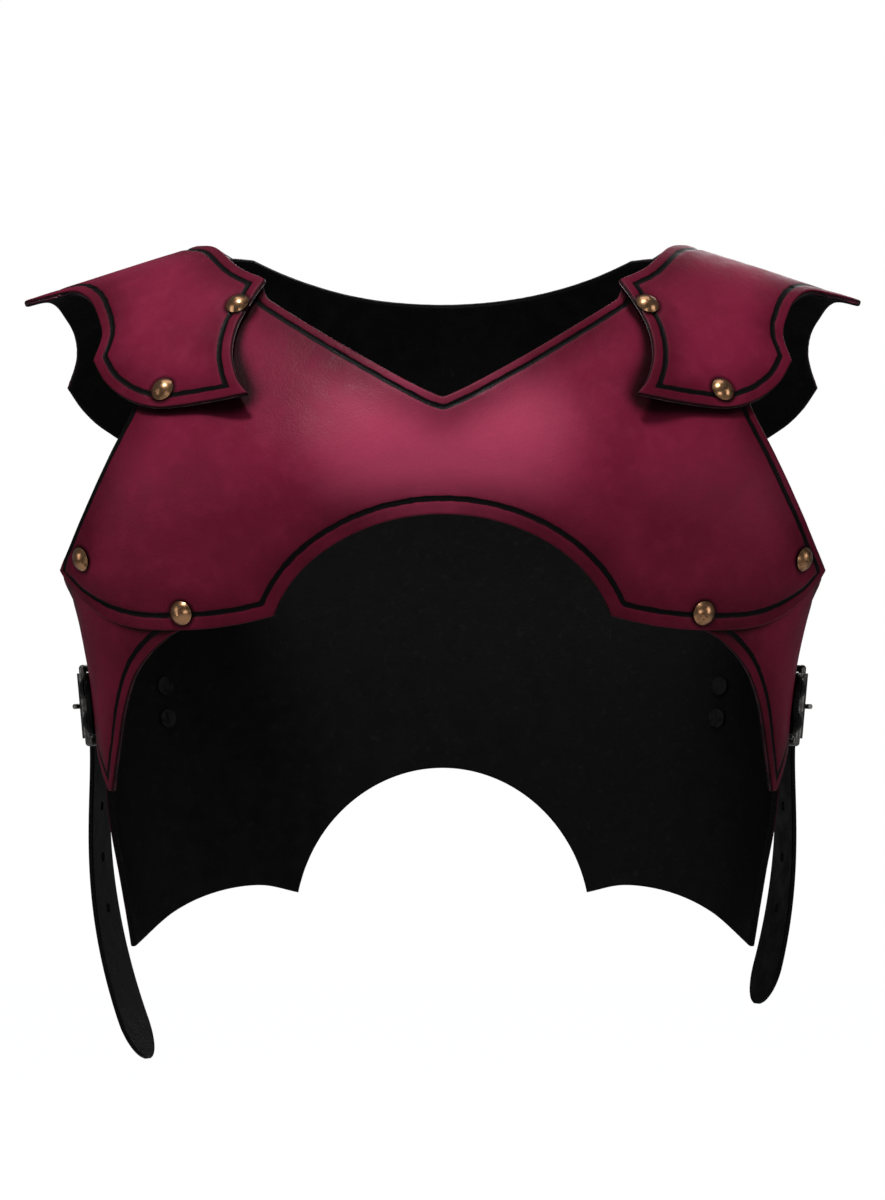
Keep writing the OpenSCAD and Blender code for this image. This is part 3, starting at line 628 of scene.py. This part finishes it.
class Finish:
    """A principled material and short calls to wire its texture nodes."""

    def __init__(self, name, colour, roughness, **fixed):
        self.material = bpy.data.materials.new(name)
        self.material.use_nodes = True
        self.tree = self.material.node_tree
        self.shader = self.tree.nodes["Principled BSDF"]
        self.set(self.shader, "Base Color", (*colour, 1))
        self.set(self.shader, "Roughness", roughness)
        for key, value in fixed.items():
            self.set(self.shader, key.replace("_", " "), value)
        self.place = self.add("ShaderNodeTexCoord").outputs["Object"]

    def set(self, target, key, value):
        socket = target.inputs[key]
        if isinstance(value, bpy.types.NodeSocket):
            self.tree.links.new(value, socket)
        else:
            socket.default_value = value

    def add(self, kind, **inputs):
        new = self.tree.nodes.new(kind)
        for key, value in inputs.items():
            if isinstance(value, str):
                setattr(new, key, value)
            else:
                self.set(new, key.replace("_", " "), value)
        return new

    def noise(self, size_mm, detail, warp=0.0):
        """Noise whose blotches are about a size across, from 0 to 1."""
        new = self.add("ShaderNodeTexNoise", Scale=1 / (size_mm * MM), Detail=detail,
                       Roughness=NOISE_ROUGHNESS, Distortion=warp, Vector=self.place)
        return new.outputs["Fac"]

    def cells(self, size_mm):
        new = self.add("ShaderNodeTexVoronoi", Scale=1 / (size_mm * MM), Vector=self.place)
        return new.outputs["Distance"]

    def apart(self, vector):
        return self.add("ShaderNodeSeparateXYZ", Vector=vector).outputs

    def crevice(self, reach_mm, closed, clear):
        """From 0 deep between two layers to 1 where nothing is near."""
        near = self.add("ShaderNodeAmbientOcclusion", Distance=reach_mm * MM)
        return self.band(near.outputs["AO"], closed, clear)

    def attribute(self, name):
        return self.add("ShaderNodeAttribute", attribute_name=name).outputs["Fac"]

    def math(self, operation, first, second=0.0):
        new = self.tree.nodes.new("ShaderNodeMath")
        new.operation = operation
        self.set(new, 0, first)
        self.set(new, 1, second)
        return new.outputs[0]

    def band(self, value, low, high, to_low=0.0, to_high=1.0):
        """A value carried smoothly from one span to another."""
        new = self.tree.nodes.new("ShaderNodeMapRange")
        new.interpolation_type = "SMOOTHSTEP"
        for key, number in (("Value", value), ("From Min", low), ("From Max", high),
                            ("To Min", to_low), ("To Max", to_high)):
            self.set(new, key, number)
        return new.outputs["Result"]

    def mix(self, share, first, second):
        new = self.tree.nodes.new("ShaderNodeMix")
        new.data_type = "RGBA"
        self.set(new, MIX_SHARE, share)
        for key, colour in ((MIX_FIRST, first), (MIX_SECOND, second)):
            self.set(new, key, colour if isinstance(colour, bpy.types.NodeSocket) else (*colour, 1))
        return new.outputs[MIX_RESULT]

    def bump(self, *layers):
        """Fine relief: each layer is a height from 0 to 1 and its depth in millimetres."""
        normal = None
        for height, depth in layers:
            new = self.add("ShaderNodeBump", Height=height, Distance=depth * MM, Strength=1.0)
            if normal is not None:
                self.set(new, "Normal", normal)
            normal = new.outputs["Normal"]
        self.set(self.shader, "Normal", normal)


def painted_chest_highlight(finish):
    """Painted highlight: the middle of the chest, between the V and the arch, painted lighter as if the
    light fell brightest there.
    """
    x, y, z = finish.apart(finish.place)
    across = finish.math("DIVIDE", x, HIGHLIGHT_HALF_W * MM)
    level = finish.math("DIVIDE", finish.math("ADD", z, HIGHLIGHT_Z * MM), HIGHLIGHT_HALF_H * MM)
    squares = [finish.math("MULTIPLY", share, share) for share in (across, level)]
    away = finish.math("ADD", *squares)
    patches = finish.band(finish.noise(PATCH, 3), 0.2, 0.6, 0.85, 1)
    rub_and_highlight = finish.math("MULTIPLY", finish.band(away, 0, HIGHLIGHT_SPREAD, HIGHLIGHT_MOST, 0), patches)
    in_front = finish.band(y, HIGHLIGHT_FRONT_Y * MM, HIGHLIGHT_BACK_Y * MM, 1, 0)
    return finish.math("MULTIPLY", rub_and_highlight, in_front)


def make_red_leather():
    finish = Finish("wine_red_leather", WINE, 0.42, Specular_IOR_Level=0.05)
    edge, line = finish.attribute("edge"), finish.attribute("line")
    blotch = finish.noise(BLOTCH, 4)
    mottle = finish.noise(MOTTLE, 3)
    grain = finish.cells(GRAIN)
    tone = finish.mix(finish.band(blotch, 0.35, 0.65), WINE_DARK, WINE)
    tone = finish.mix(finish.band(mottle, 0.45, 0.75, 0, 0.22), tone, WINE_BRIGHT)
    # Painted highlight: the middle of the chest is painted lighter
    tone = finish.mix(painted_chest_highlight(finish), tone, WINE_HIGHLIGHT)
    patchy = finish.band(blotch, 0.2, 0.8, 1.1, 0.6)
    burnish = finish.math("MULTIPLY", finish.band(edge, BURNISH_FROM, BURNISH_TO, 0.75, 0), patchy)
    tone = finish.mix(burnish, tone, WINE_DEEP)
    # Painted shadow: the leather is darkened in a ring round each rivet
    ring = finish.band(finish.attribute("rivet"), RIVET_R, RIVET_R + RIVET_SHADOW_W, 0.85, 0)
    tone = finish.mix(ring, tone, WINE_SHADE)
    wander = finish.math("SUBTRACT", finish.noise(LINE_WANDER, 2), 0.5)
    uneven = finish.math("MULTIPLY", wander, 0.9)
    from_line = finish.math("ABSOLUTE", finish.math("ADD", line, uneven))
    cut = finish.band(from_line, CUT_HALF_W, CUT_HALF_W + CUT_SOFT, 1, 0)
    from_edge = finish.math("ADD", edge, finish.math("MULTIPLY", uneven, 0.4))
    rim = finish.band(from_edge, RIM_W, RIM_W + RIM_SOFT, 0.75, 0)
    tone = finish.mix(finish.crevice(SHADE_REACH, 0.7, 0.94), WINE_SHADE, tone)
    tone = finish.mix(finish.math("MAXIMUM", cut, rim), tone, DYE_BLACK)
    finish.set(finish.shader, "Base Color", tone)
    rough = finish.band(mottle, 0.3, 0.7, 0.38, 0.52)
    finish.set(finish.shader, "Roughness", rough)
    finish.bump((grain, 0.06), (mottle, 0.25), (finish.noise(FIBRE, 3), 0.08))
    return finish.material


def make_black_leather(name, tint, grain_depth, roughness, shine):
    finish = Finish(name, tint, roughness, Specular_IOR_Level=shine)
    mottle = finish.noise(MOTTLE, 4)
    scuff = finish.noise(SCUFF, 5, warp=0.8)
    lighter = [channel * 2 + 0.0015 for channel in tint]
    tone = finish.mix(finish.band(scuff, 0.55, 0.75), tint, lighter)
    finish.set(finish.shader, "Base Color", tone)
    rough = finish.band(mottle, 0.3, 0.7, roughness - 0.08, roughness + 0.12)
    finish.set(finish.shader, "Roughness", rough)
    finish.bump((finish.cells(LINING_GRAIN), grain_depth), (mottle, 0.2))
    return finish.material


def make_cut_edge(name, colour, dark, roughness, shine):
    finish = Finish(name, colour, roughness, Specular_IOR_Level=shine)
    rub_and_highlight = finish.noise(EDGE_RUB, 3)
    tone = finish.mix(finish.band(rub_and_highlight, 0.4, 0.65), dark, colour)
    finish.set(finish.shader, "Base Color", tone)
    finish.bump((finish.noise(EDGE_FIBRE, 3, warp=0.6), 0.05))
    return finish.material


def make_metal(name, colour, dark, roughness):
    finish = Finish(name, colour, roughness, Metallic=1.0)
    patina = finish.noise(PATINA, 4, warp=0.5)
    tone = finish.mix(finish.band(patina, 0.45, 0.7), colour, dark)
    finish.set(finish.shader, "Base Color", tone)
    rough = finish.band(patina, 0.35, 0.7, roughness, roughness + 0.16)
    finish.set(finish.shader, "Roughness", rough)
    finish.bump((finish.noise(TARNISH, 3), 0.03))
    return finish.material


red_leather = make_red_leather()
black_lining = make_black_leather("black_lining", (0.0016, 0.0015, 0.0016), 0.1, 0.62, 0.07)
strap_leather = make_black_leather(
    "black_strap_leather", (0.0012, 0.0012, 0.0014), 0.06, 0.46, 0.055)
burnished_edge = make_cut_edge(
    "burnished_edge", (0.075, 0.01, 0.023), (0.014, 0.002, 0.005), 0.4, 0.25)
antique_brass = make_metal("antique_brass", (0.36, 0.195, 0.1), (0.085, 0.043, 0.022), 0.22)
black_steel = make_metal("black_steel", (0.016, 0.015, 0.015), (0.007, 0.007, 0.007), 0.5)
dark_steel = make_metal("dark_steel", (0.11, 0.105, 0.1), (0.03, 0.028, 0.027), 0.34)


# Plates, saddles and flank panels
def join(piece, slot, *nodes, body="shell"):
    """Say which body a piece rides and which CAD nodes it replaces. The slot is not used."""
    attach(piece, body)
    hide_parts(*nodes)


# How far the carved line runs from the top, right, bottom and left edges of a grid. It is
# close to the edge of the wearer's right armhole, and further in along the left one
BREAST_INSETS = (5, 5, 7.5, 1.6)
BACK_INSETS = (6.5, 6.5, 7.5, 6.5)
SMALL_INSETS = (6, 6, 6, 6)
breast_rivets = np.concatenate([FRONT_RIVETS, FLANK_RIVETS])
back_rivets = np.concatenate([BACK_RIVETS, CHAPE_RIVETS])
saddle_rivets = np.concatenate([FRONT_RIVETS, BACK_RIVETS])
flank_rivets = np.concatenate([FLANK_RIVETS, STRAP_RIVETS])
breast = leather(
    "breast_plate_leather", torso, breast_cells(), 0, LEATHER_T, BREAST_INSETS, breast_rivets)
join(breast, "leather_red", "breast_plate")
back = leather(
    "back_plate_leather", torso, back_cells(), 0, LEATHER_T, BACK_INSETS, back_rivets)
back.data.materials[RIM_SLOT] = black_lining
join(back, "leather_red", "back_plate")
for side, turn in (("left", 1), ("right", -1)):
    saddle = leather(
        f"{side}_saddle_leather", shoulder, saddle_cells(), SADDLE_LOW, SADDLE_HIGH, SMALL_INSETS,
        saddle_rivets, turn, flared_shoulder)
    join(saddle, "leather_red", f"{side}_shoulder")
    flank = leather(
        f"{side}_flank_leather", torso, flank_cells(), UNDER_LOW, UNDER_HIGH, SMALL_INSETS,
        flank_rivets, turn)
    join(flank, "leather_red", f"{side}_flank")


# Straps, chapes and hanging tails with rounded edges
# The buckle they hold, as in the CAD source
BUCKLE_LEN = 26
BAR_R = 1.8
ROLLER_R = 3
PRONG_R = 1.25
HEEL_ANGLE = 112
CHAPE_T = STRAP_T - 0.4
CHAPE_RISE = 1
BAR_OUT = LEATHER_T + 2 * LAYER_GAP + CHAPE_RISE / 2 + CHAPE_T + BAR_R
# The strap, from the flank under the roller and over the heel bar
STRAP_OVER_OUT = BAR_OUT + BAR_R + 2 * LAYER_GAP + CHAPE_T + STRAP_T / 2
STRAP_UNDER_OUT = BAR_OUT - ROLLER_R - LAYER_GAP - STRAP_T / 2
STRAP_FRONT_ANGLE = 84
STRAP_ANGLE_STEP = 3
STRAP_FLAT_POINTS = 4
STRAP_STEPS = 150
STRAP_CORNER_R = STRAP_W / 3
STRAP_END = -4
ROLLER_RUN = 3
ROLLER_RISE = 0.7
CLIMB_SHARE = 0.62
END_RUN = 5
END_DROP = 0.6
SLOT_BACK = 3
SLOT_FRONT = 20
SLOT_H = 2 * PRONG_R + 1.8
SLOT_UNDER = 4
# The chape, folded round the heel bar
CHAPE_R = BAR_R + LAYER_GAP + CHAPE_T / 2
CHAPE_LOW = LEATHER_T + 1.5 * LAYER_GAP + CHAPE_RISE + CHAPE_T / 2
CHAPE_HIGH = CHAPE_LOW + CHAPE_T + LAYER_GAP
CHAPE_FLAT_ANGLE = HEEL_ANGLE + 8
CHAPE_ANGLE_STEP = 4
CHAPE_FLAT_POINTS = 5
CHAPE_TURN = 96
CHAPE_TURN_STEP = 8
CHAPE_SLOT_H = 12
CHAPE_SLOT_BACK = -5
CHAPE_SLOT_FRONT = 15
CHAPE_SLOT_ROOM = 6
# The hanging tail, with its fold beside the strap's end
FOLD_GAP = 0.6
FOLD_START = 0.6
FOLD_END = 0.5
FOLD_LEAST_W = 1
TAIL_FRONT = STRAP_END - FOLD_GAP
TAIL_STAND = 10
TAIL_SLOPE = 0.26
TAIL_FALL = 0.0019
TAIL_TURN = 0.9
TAIL_TURN_REACH = 34
TAIL_TIP_H = 20
TAIL_TIP_LEAST = 0.02
TAIL_LENGTHS = {"left": 149, "right": 177}
TAIL_STEP = 1.5
TAIL_END_STEPS = 24
TAIL_END_RUN = 8
HOLE_R = 2.5
HOLE_PITCH = 25
HOLE_COUNT = 4
HOLE_REACH = 3 * STRAP_T
# The section of a strip, and the solids that cut it
EDGE_SOFT = 0.75
CORNER_STEPS = 4
FLAT_MARGIN = 0.6
THINNEST = 0.01
SHARP_ANGLE = 40
ROD_SIDES = 40
BOX_FACES = ((0, 1, 3, 2), (4, 6, 7, 5), (0, 4, 5, 1), (2, 3, 7, 6), (0, 2, 6, 4), (1, 5, 7, 3))

# Directions of the left buckle: forward from its heel bar to its roller, outward and up
joints = {joint["name"]: joint for joint in frame["joints"]}
heel = np.array(joints["left_frame_hinge"]["pos_m"]) / MM
forward = np.array(joints["left_roller_spin"]["pos_m"]) / MM - heel
forward /= np.linalg.norm(forward)
up = np.array(joints["left_frame_hinge"]["axis"])
outward = np.cross(up, forward)
plane = heel - BAR_OUT * outward


def at_buckle(places):
    """World places from [forward, outward, up] places of the left side."""
    return plane + np.asarray(places, float) @ np.array([forward, outward, up])


def local_form(angle, height):
    """[forward, outward] place at a height above the form, level with the strap."""
    cell = np.array([angle, -STRAP_Z], float)
    away = torso(cell) + height * normals(torso, cell) - plane
    return away @ forward, away @ outward


def rounded_section(half, thick):
    """Points round a flat strip's section as [across, through], with soft corners."""
    soft = min(EDGE_SOFT, half, thick / 2 - THINNEST)
    points = []
    # A further point close to each corner keeps the flat faces flat when they are shaded
    for across, through, start in ((1, 1, 0), (-1, 1, 90), (-1, -1, 180), (1, -1, 270)):
        centre = np.array([across * (half - soft), through * (thick / 2 - soft)])
        turn = np.radians(start + np.linspace(0, 90, CORNER_STEPS + 1))
        arc = centre + soft * np.stack([np.cos(turn), np.sin(turn)], -1)
        margin = np.array([min(FLAT_MARGIN, max(half - soft, THINNEST) / 2) * across, 0])
        points += [*arc, arc[-1] - margin] if start in (0, 180) else [arc[0] - margin, *arc]
    return np.array(points)


def strip(name, centres, across, through, halves, thick):
    """A strip of leather along a run of places, its section given by two directions."""
    rings = []
    for centre, wide, deep, half in zip(centres, across, through, halves):
        section = rounded_section(half, thick)
        rings.append(centre + section[:, :1] * wide + section[:, 1:] * deep)
    size = len(rings[0])
    count = len(rings)
    index = np.arange(count * size).reshape(count, size)
    a, b = index[:-1], index[1:]
    sides = np.stack([a, np.roll(a, -1, 1), np.roll(b, -1, 1), b], -1).reshape(-1, 4)
    ends = [index[0, ::-1].tolist(), index[-1].tolist()]
    mesh = bpy.data.meshes.new(name)
    mesh.from_pydata(np.concatenate(rings) * MM, [], sides.tolist() + ends)
    piece = bpy.data.objects.new(name, mesh)
    bpy.context.scene.collection.objects.link(piece)
    return piece


def cutter(places, radius=None):
    """A closed solid to cut with: a box over eight corners, or a rod between two places."""
    shape = bmesh.new()
    if radius is None:
        corners = [shape.verts.new(p * MM) for p in places]
        for face in BOX_FACES:
            shape.faces.new([corners[k] for k in face])
    else:
        start, end = places
        turn = Vector(end - start).to_track_quat("Z", "Y").to_matrix().to_4x4()
        turn.translation = Vector((start + end) / 2 * MM)
        bmesh.ops.create_cone(
            shape, cap_ends=True, segments=ROD_SIDES, radius1=radius * MM, radius2=radius * MM,
            depth=float(np.linalg.norm(end - start)) * MM, matrix=turn)
    bmesh.ops.recalc_face_normals(shape, faces=shape.faces)
    mesh = bpy.data.meshes.new("cutter")
    shape.to_mesh(mesh)
    shape.free()
    tool = bpy.data.objects.new("cutter", mesh)
    bpy.context.scene.collection.objects.link(tool)
    return tool


def finished_strip(piece, cutters, side, material):
    """The strip cut by each solid, mirrored for the right side, with smooth shading."""
    for tool in cutters:
        cut = piece.modifiers.new("cut", "BOOLEAN")
        cut.operation = "DIFFERENCE"
        cut.solver = "EXACT"
        cut.object = tool
    bpy.context.view_layer.update()
    graph = bpy.context.evaluated_depsgraph_get()
    mesh = bpy.data.meshes.new_from_object(piece.evaluated_get(graph))
    piece.modifiers.clear()
    piece.data = mesh
    for tool in cutters:
        bpy.data.objects.remove(tool)
    shape = bmesh.new()
    shape.from_mesh(mesh)
    if side == "right":
        bmesh.ops.scale(shape, vec=(-1, 1, 1), verts=shape.verts)
    bmesh.ops.recalc_face_normals(shape, faces=shape.faces)
    shape.to_mesh(mesh)
    shape.free()
    mesh.polygons.foreach_set("use_smooth", np.ones(len(mesh.polygons), bool))
    mesh.set_sharp_from_angle(angle=math.radians(SHARP_ANGLE))
    mesh.materials.clear()
    mesh.materials.append(material)


def slot_box(back, front, low, high, height):
    """Corners of a box through the middle of a strap, which leaves room for the prong."""
    return [
        at_buckle((t, n, z))
        for t in (back, front)
        for n in (low, high)
        for z in (-height / 2, height / 2)]


def ribbon(name, path, halves, thick):
    """A strip whose path lies in the plane of the buckle, and its width along up."""
    path = np.asarray(path, float)
    along = np.gradient(path, axis=0)
    along /= np.linalg.norm(along, axis=1, keepdims=True)
    flat = np.zeros((len(path), 1))
    centres = at_buckle(np.hstack([path, flat]))
    side = at_buckle(np.hstack([-along[:, 1:], along[:, :1], flat])) - plane
    return strip(name, centres, np.tile(up, (len(path), 1)), side, halves, thick)


def side_strap(side):
    """The strap from the flank, under the roller and over the heel bar of its buckle."""
    steps = np.arange(STRAP_FLAT_POINTS) * STRAP_ANGLE_STEP
    points = [local_form(STRAP_FRONT_ANGLE + step, STRAP_T / 2) for step in steps]
    middle_out = STRAP_UNDER_OUT * (1 - CLIMB_SHARE) + STRAP_OVER_OUT * CLIMB_SHARE
    points += [
        (BUCKLE_LEN + ROLLER_RUN, STRAP_UNDER_OUT),
        (BUCKLE_LEN - ROLLER_RUN, STRAP_UNDER_OUT + ROLLER_RISE),
        (BUCKLE_LEN / 2, middle_out), (END_RUN, STRAP_OVER_OUT - END_DROP),
        (STRAP_END, STRAP_OVER_OUT)]
    path = curve(points, np.linspace(0, 1, STRAP_STEPS))
    to_end = np.clip(np.linalg.norm(path - path[0], axis=1), 0, STRAP_CORNER_R)
    corner = np.sqrt(STRAP_CORNER_R**2 - (STRAP_CORNER_R - to_end) ** 2)
    halves = STRAP_W / 2 - STRAP_CORNER_R + corner
    piece = ribbon(f"{side}_strap_leather", path, halves, STRAP_T)
    low, high = BAR_OUT - SLOT_UNDER, BAR_OUT + STRAP_OVER_OUT
    slot = cutter(slot_box(SLOT_BACK, SLOT_FRONT, low, high, SLOT_H))
    finished_strip(piece, [slot], side, strap_leather)
    join(piece, "leather_black", f"{side}_strap")


def chape(side):
    """The leather folded round the heel bar, with both its layers riveted to the back."""
    angles = CHAPE_FLAT_ANGLE + np.arange(CHAPE_FLAT_POINTS) * CHAPE_ANGLE_STEP
    turns = np.radians(np.arange(-CHAPE_TURN, CHAPE_TURN + 1, CHAPE_TURN_STEP))
    path = [local_form(angle, CHAPE_LOW) for angle in angles[::-1]]
    path += [(CHAPE_R * math.cos(t), BAR_OUT + CHAPE_R * math.sin(t)) for t in turns]
    path += [local_form(angle, CHAPE_HIGH) for angle in angles]
    piece = ribbon(f"{side}_chape_leather", path, [STRAP_W / 2] * len(path), CHAPE_T)
    reach = CHAPE_R + CHAPE_SLOT_ROOM
    slot = cutter(slot_box(
        CHAPE_SLOT_BACK, CHAPE_SLOT_FRONT, BAR_OUT - reach, BAR_OUT + reach, CHAPE_SLOT_H))
    finished_strip(piece, [slot], side, strap_leather)
    join(piece, "leather_black", f"{side}_chape")


def tail(side):
    """The end of the strap, folded down behind the buckle so that it hangs free."""
    hang = TAIL_LENGTHS[side] - STRAP_W / 2
    drops = np.concatenate([
        np.linspace(-STRAP_W + FOLD_START, -FOLD_END, TAIL_END_STEPS),
        np.arange(0, hang - TAIL_END_RUN, TAIL_STEP),
        hang - TAIL_END_RUN * np.linspace(1, 0, TAIL_END_STEPS) ** 2])
    low = np.clip(drops, 0, None)
    past = np.clip((low - hang + TAIL_TIP_H) / TAIL_TIP_H, 0, 1)
    half = STRAP_W / 2 * np.sqrt(np.maximum(TAIL_TIP_LEAST, 1 - past**2))
    fold = drops < 0
    half = np.where(fold, np.maximum(FOLD_LEAST_W, drops + STRAP_W) / 2, half)
    middle = np.where(fold, TAIL_FRONT - half, TAIL_FRONT - STRAP_W / 2)
    folded_out = TAIL_STAND * (drops + STRAP_W) / STRAP_W
    hanging_out = TAIL_STAND + TAIL_SLOPE * low - TAIL_FALL * low**2
    out = STRAP_OVER_OUT + np.where(fold, folded_out, hanging_out)
    turn = np.radians(-TAIL_TURN * low * np.exp(-low / TAIL_TURN_REACH))
    flat = np.zeros(len(drops))
    centres = at_buckle(np.stack([middle, out, -STRAP_W / 2 - drops], -1))
    across = at_buckle(np.stack([np.cos(turn), np.sin(turn), flat], -1)) - plane
    through = at_buckle(np.stack([-np.sin(turn), np.cos(turn), flat], -1)) - plane
    piece = strip(f"{side}_tail_leather", centres, across, through, half, STRAP_T)
    holes = []
    for k in range(1, HOLE_COUNT + 1):
        hole_drop = k * HOLE_PITCH - STRAP_W / 2
        i = int(np.argmin(np.abs(drops - hole_drop)))
        reach = through[i] * HOLE_REACH
        holes.append(cutter((centres[i] - reach, centres[i] + reach), HOLE_R))
    finished_strip(piece, holes, side, strap_leather)
    join(piece, "leather_black", f"{side}_tail", body=f"{side}_tail")


for side in TAIL_LENGTHS:
    side_strap(side)
    chape(side)
    tail(side)

# The CAD nodes that stay get their finish here
for name, piece in frame["nodes"].items():
    if name in ("strap_rivets", "chape_rivets"):
        finish = black_steel
    elif name.endswith("rivets"):
        finish = antique_brass
    elif name.endswith(("frame", "prong", "roller")):
        finish = dark_steel
    else:
        continue
    for material_slot in piece.material_slots:
        material_slot.material = finish

# Camera at the photograph's viewing angle, level and looking straight back
SENSOR_H = 24
LENS = 98.4
CAMERA_PLACE = (0, -2.4, -0.174)
CLIP_END = 30

camera_data = bpy.data.cameras.new("camera")
camera_data.sensor_fit = "VERTICAL"
camera_data.sensor_height = SENSOR_H
camera_data.lens = LENS
camera_data.clip_end = CLIP_END
camera = bpy.data.objects.new("camera", camera_data)
camera.location = CAMERA_PLACE
camera.rotation_euler = (math.radians(90), 0, 0)
bpy.context.scene.collection.objects.link(camera)
bpy.context.scene.camera = camera

# Floor, backdrop and soft studio lights, in metres and watts
FLOOR_Z = -1.3
FLOOR_HALF = 12
FLOOR_GREY = (0.6, 0.6, 0.6)
FLOOR_ROUGHNESS = 0.9
FLOOR_GLOW = 0.9
CENTRE = (0, 0, -0.17)
SKY = (0.92, 0.94, 1.0)
SKY_STRENGTH = 0.16
# The place of each light, its width and height, and its power
SOFTBOXES = {
    "key": ((-0.35, -1.1, 1.95), (0.45, 0.3), 60),
    "front": ((0.2, -2.6, -0.3), (1.2, 0.8), 9),
    "left": ((2.0, -0.9, 0.1), (0.8, 1.2), 8),
    "right": ((-2.0, -0.9, 0.1), (0.8, 1.2), 8),
    "top": ((0, 0.2, 2.0), (1.6, 1.2), 10),
    "back": ((0.6, 2.3, 0.9), (1.6, 1.2), 22),
}


def add_floor(name):
    """A wide floor that the camera sees nearly white, and that still takes shadows."""
    corners = ((-1, -1), (1, -1), (1, 1), (-1, 1))
    mesh = bpy.data.meshes.new(name)
    mesh.from_pydata([(x * FLOOR_HALF, y * FLOOR_HALF, FLOOR_Z) for x, y in corners], [], [(0, 1, 2, 3)])
    obj = bpy.data.objects.new(name, mesh)
    bpy.context.scene.collection.objects.link(obj)
    material = bpy.data.materials.new(name)
    material.use_nodes = True
    nodes, links = material.node_tree.nodes, material.node_tree.links
    shader = nodes["Principled BSDF"]
    shader.inputs["Base Color"].default_value = (*FLOOR_GREY, 1)
    shader.inputs["Roughness"].default_value = FLOOR_ROUGHNESS
    path = nodes.new("ShaderNodeLightPath")
    glow = nodes.new("ShaderNodeMath")
    glow.operation = "MULTIPLY"
    glow.inputs[1].default_value = FLOOR_GLOW
    links.new(path.outputs["Is Camera Ray"], glow.inputs[0])
    shader.inputs["Emission Color"].default_value = (1, 1, 1, 1)
    links.new(glow.outputs[0], shader.inputs["Emission Strength"])
    mesh.materials.append(material)


def add_softbox(name, place, size, power):
    """An area light turned towards the object."""
    data = bpy.data.lights.new(name, "AREA")
    data.shape = "RECTANGLE"
    data.size, data.size_y = size
    data.energy = power
    lamp = bpy.data.objects.new(name, data)
    lamp.location = place
    lamp.rotation_euler = (Vector(CENTRE) - Vector(place)).to_track_quat("-Z", "Y").to_euler()
    bpy.context.scene.collection.objects.link(lamp)


add_floor("floor")
for name, (place, size, power) in SOFTBOXES.items():
    add_softbox(f"{name}_softbox", place, size, power)

# The world gives a faint light, and the camera sees it white
world = bpy.data.worlds.new("studio")
world.use_nodes = True
nodes, links = world.node_tree.nodes, world.node_tree.links
background = nodes["Background"]
background.inputs["Color"].default_value = (*SKY, 1)
background.inputs["Strength"].default_value = SKY_STRENGTH
white = nodes.new("ShaderNodeBackground")
white.inputs["Color"].default_value = (1, 1, 1, 1)
white.inputs["Strength"].default_value = 1
path = nodes.new("ShaderNodeLightPath")
blend = nodes.new("ShaderNodeMixShader")
links.new(path.outputs["Is Camera Ray"], blend.inputs[0])
links.new(background.outputs[0], blend.inputs[1])
links.new(white.outputs[0], blend.inputs[2])
links.new(blend.outputs[0], nodes["World Output"].inputs["Surface"])
bpy.context.scene.world = world

bpy.context.scene.view_settings.view_transform = "Standard"
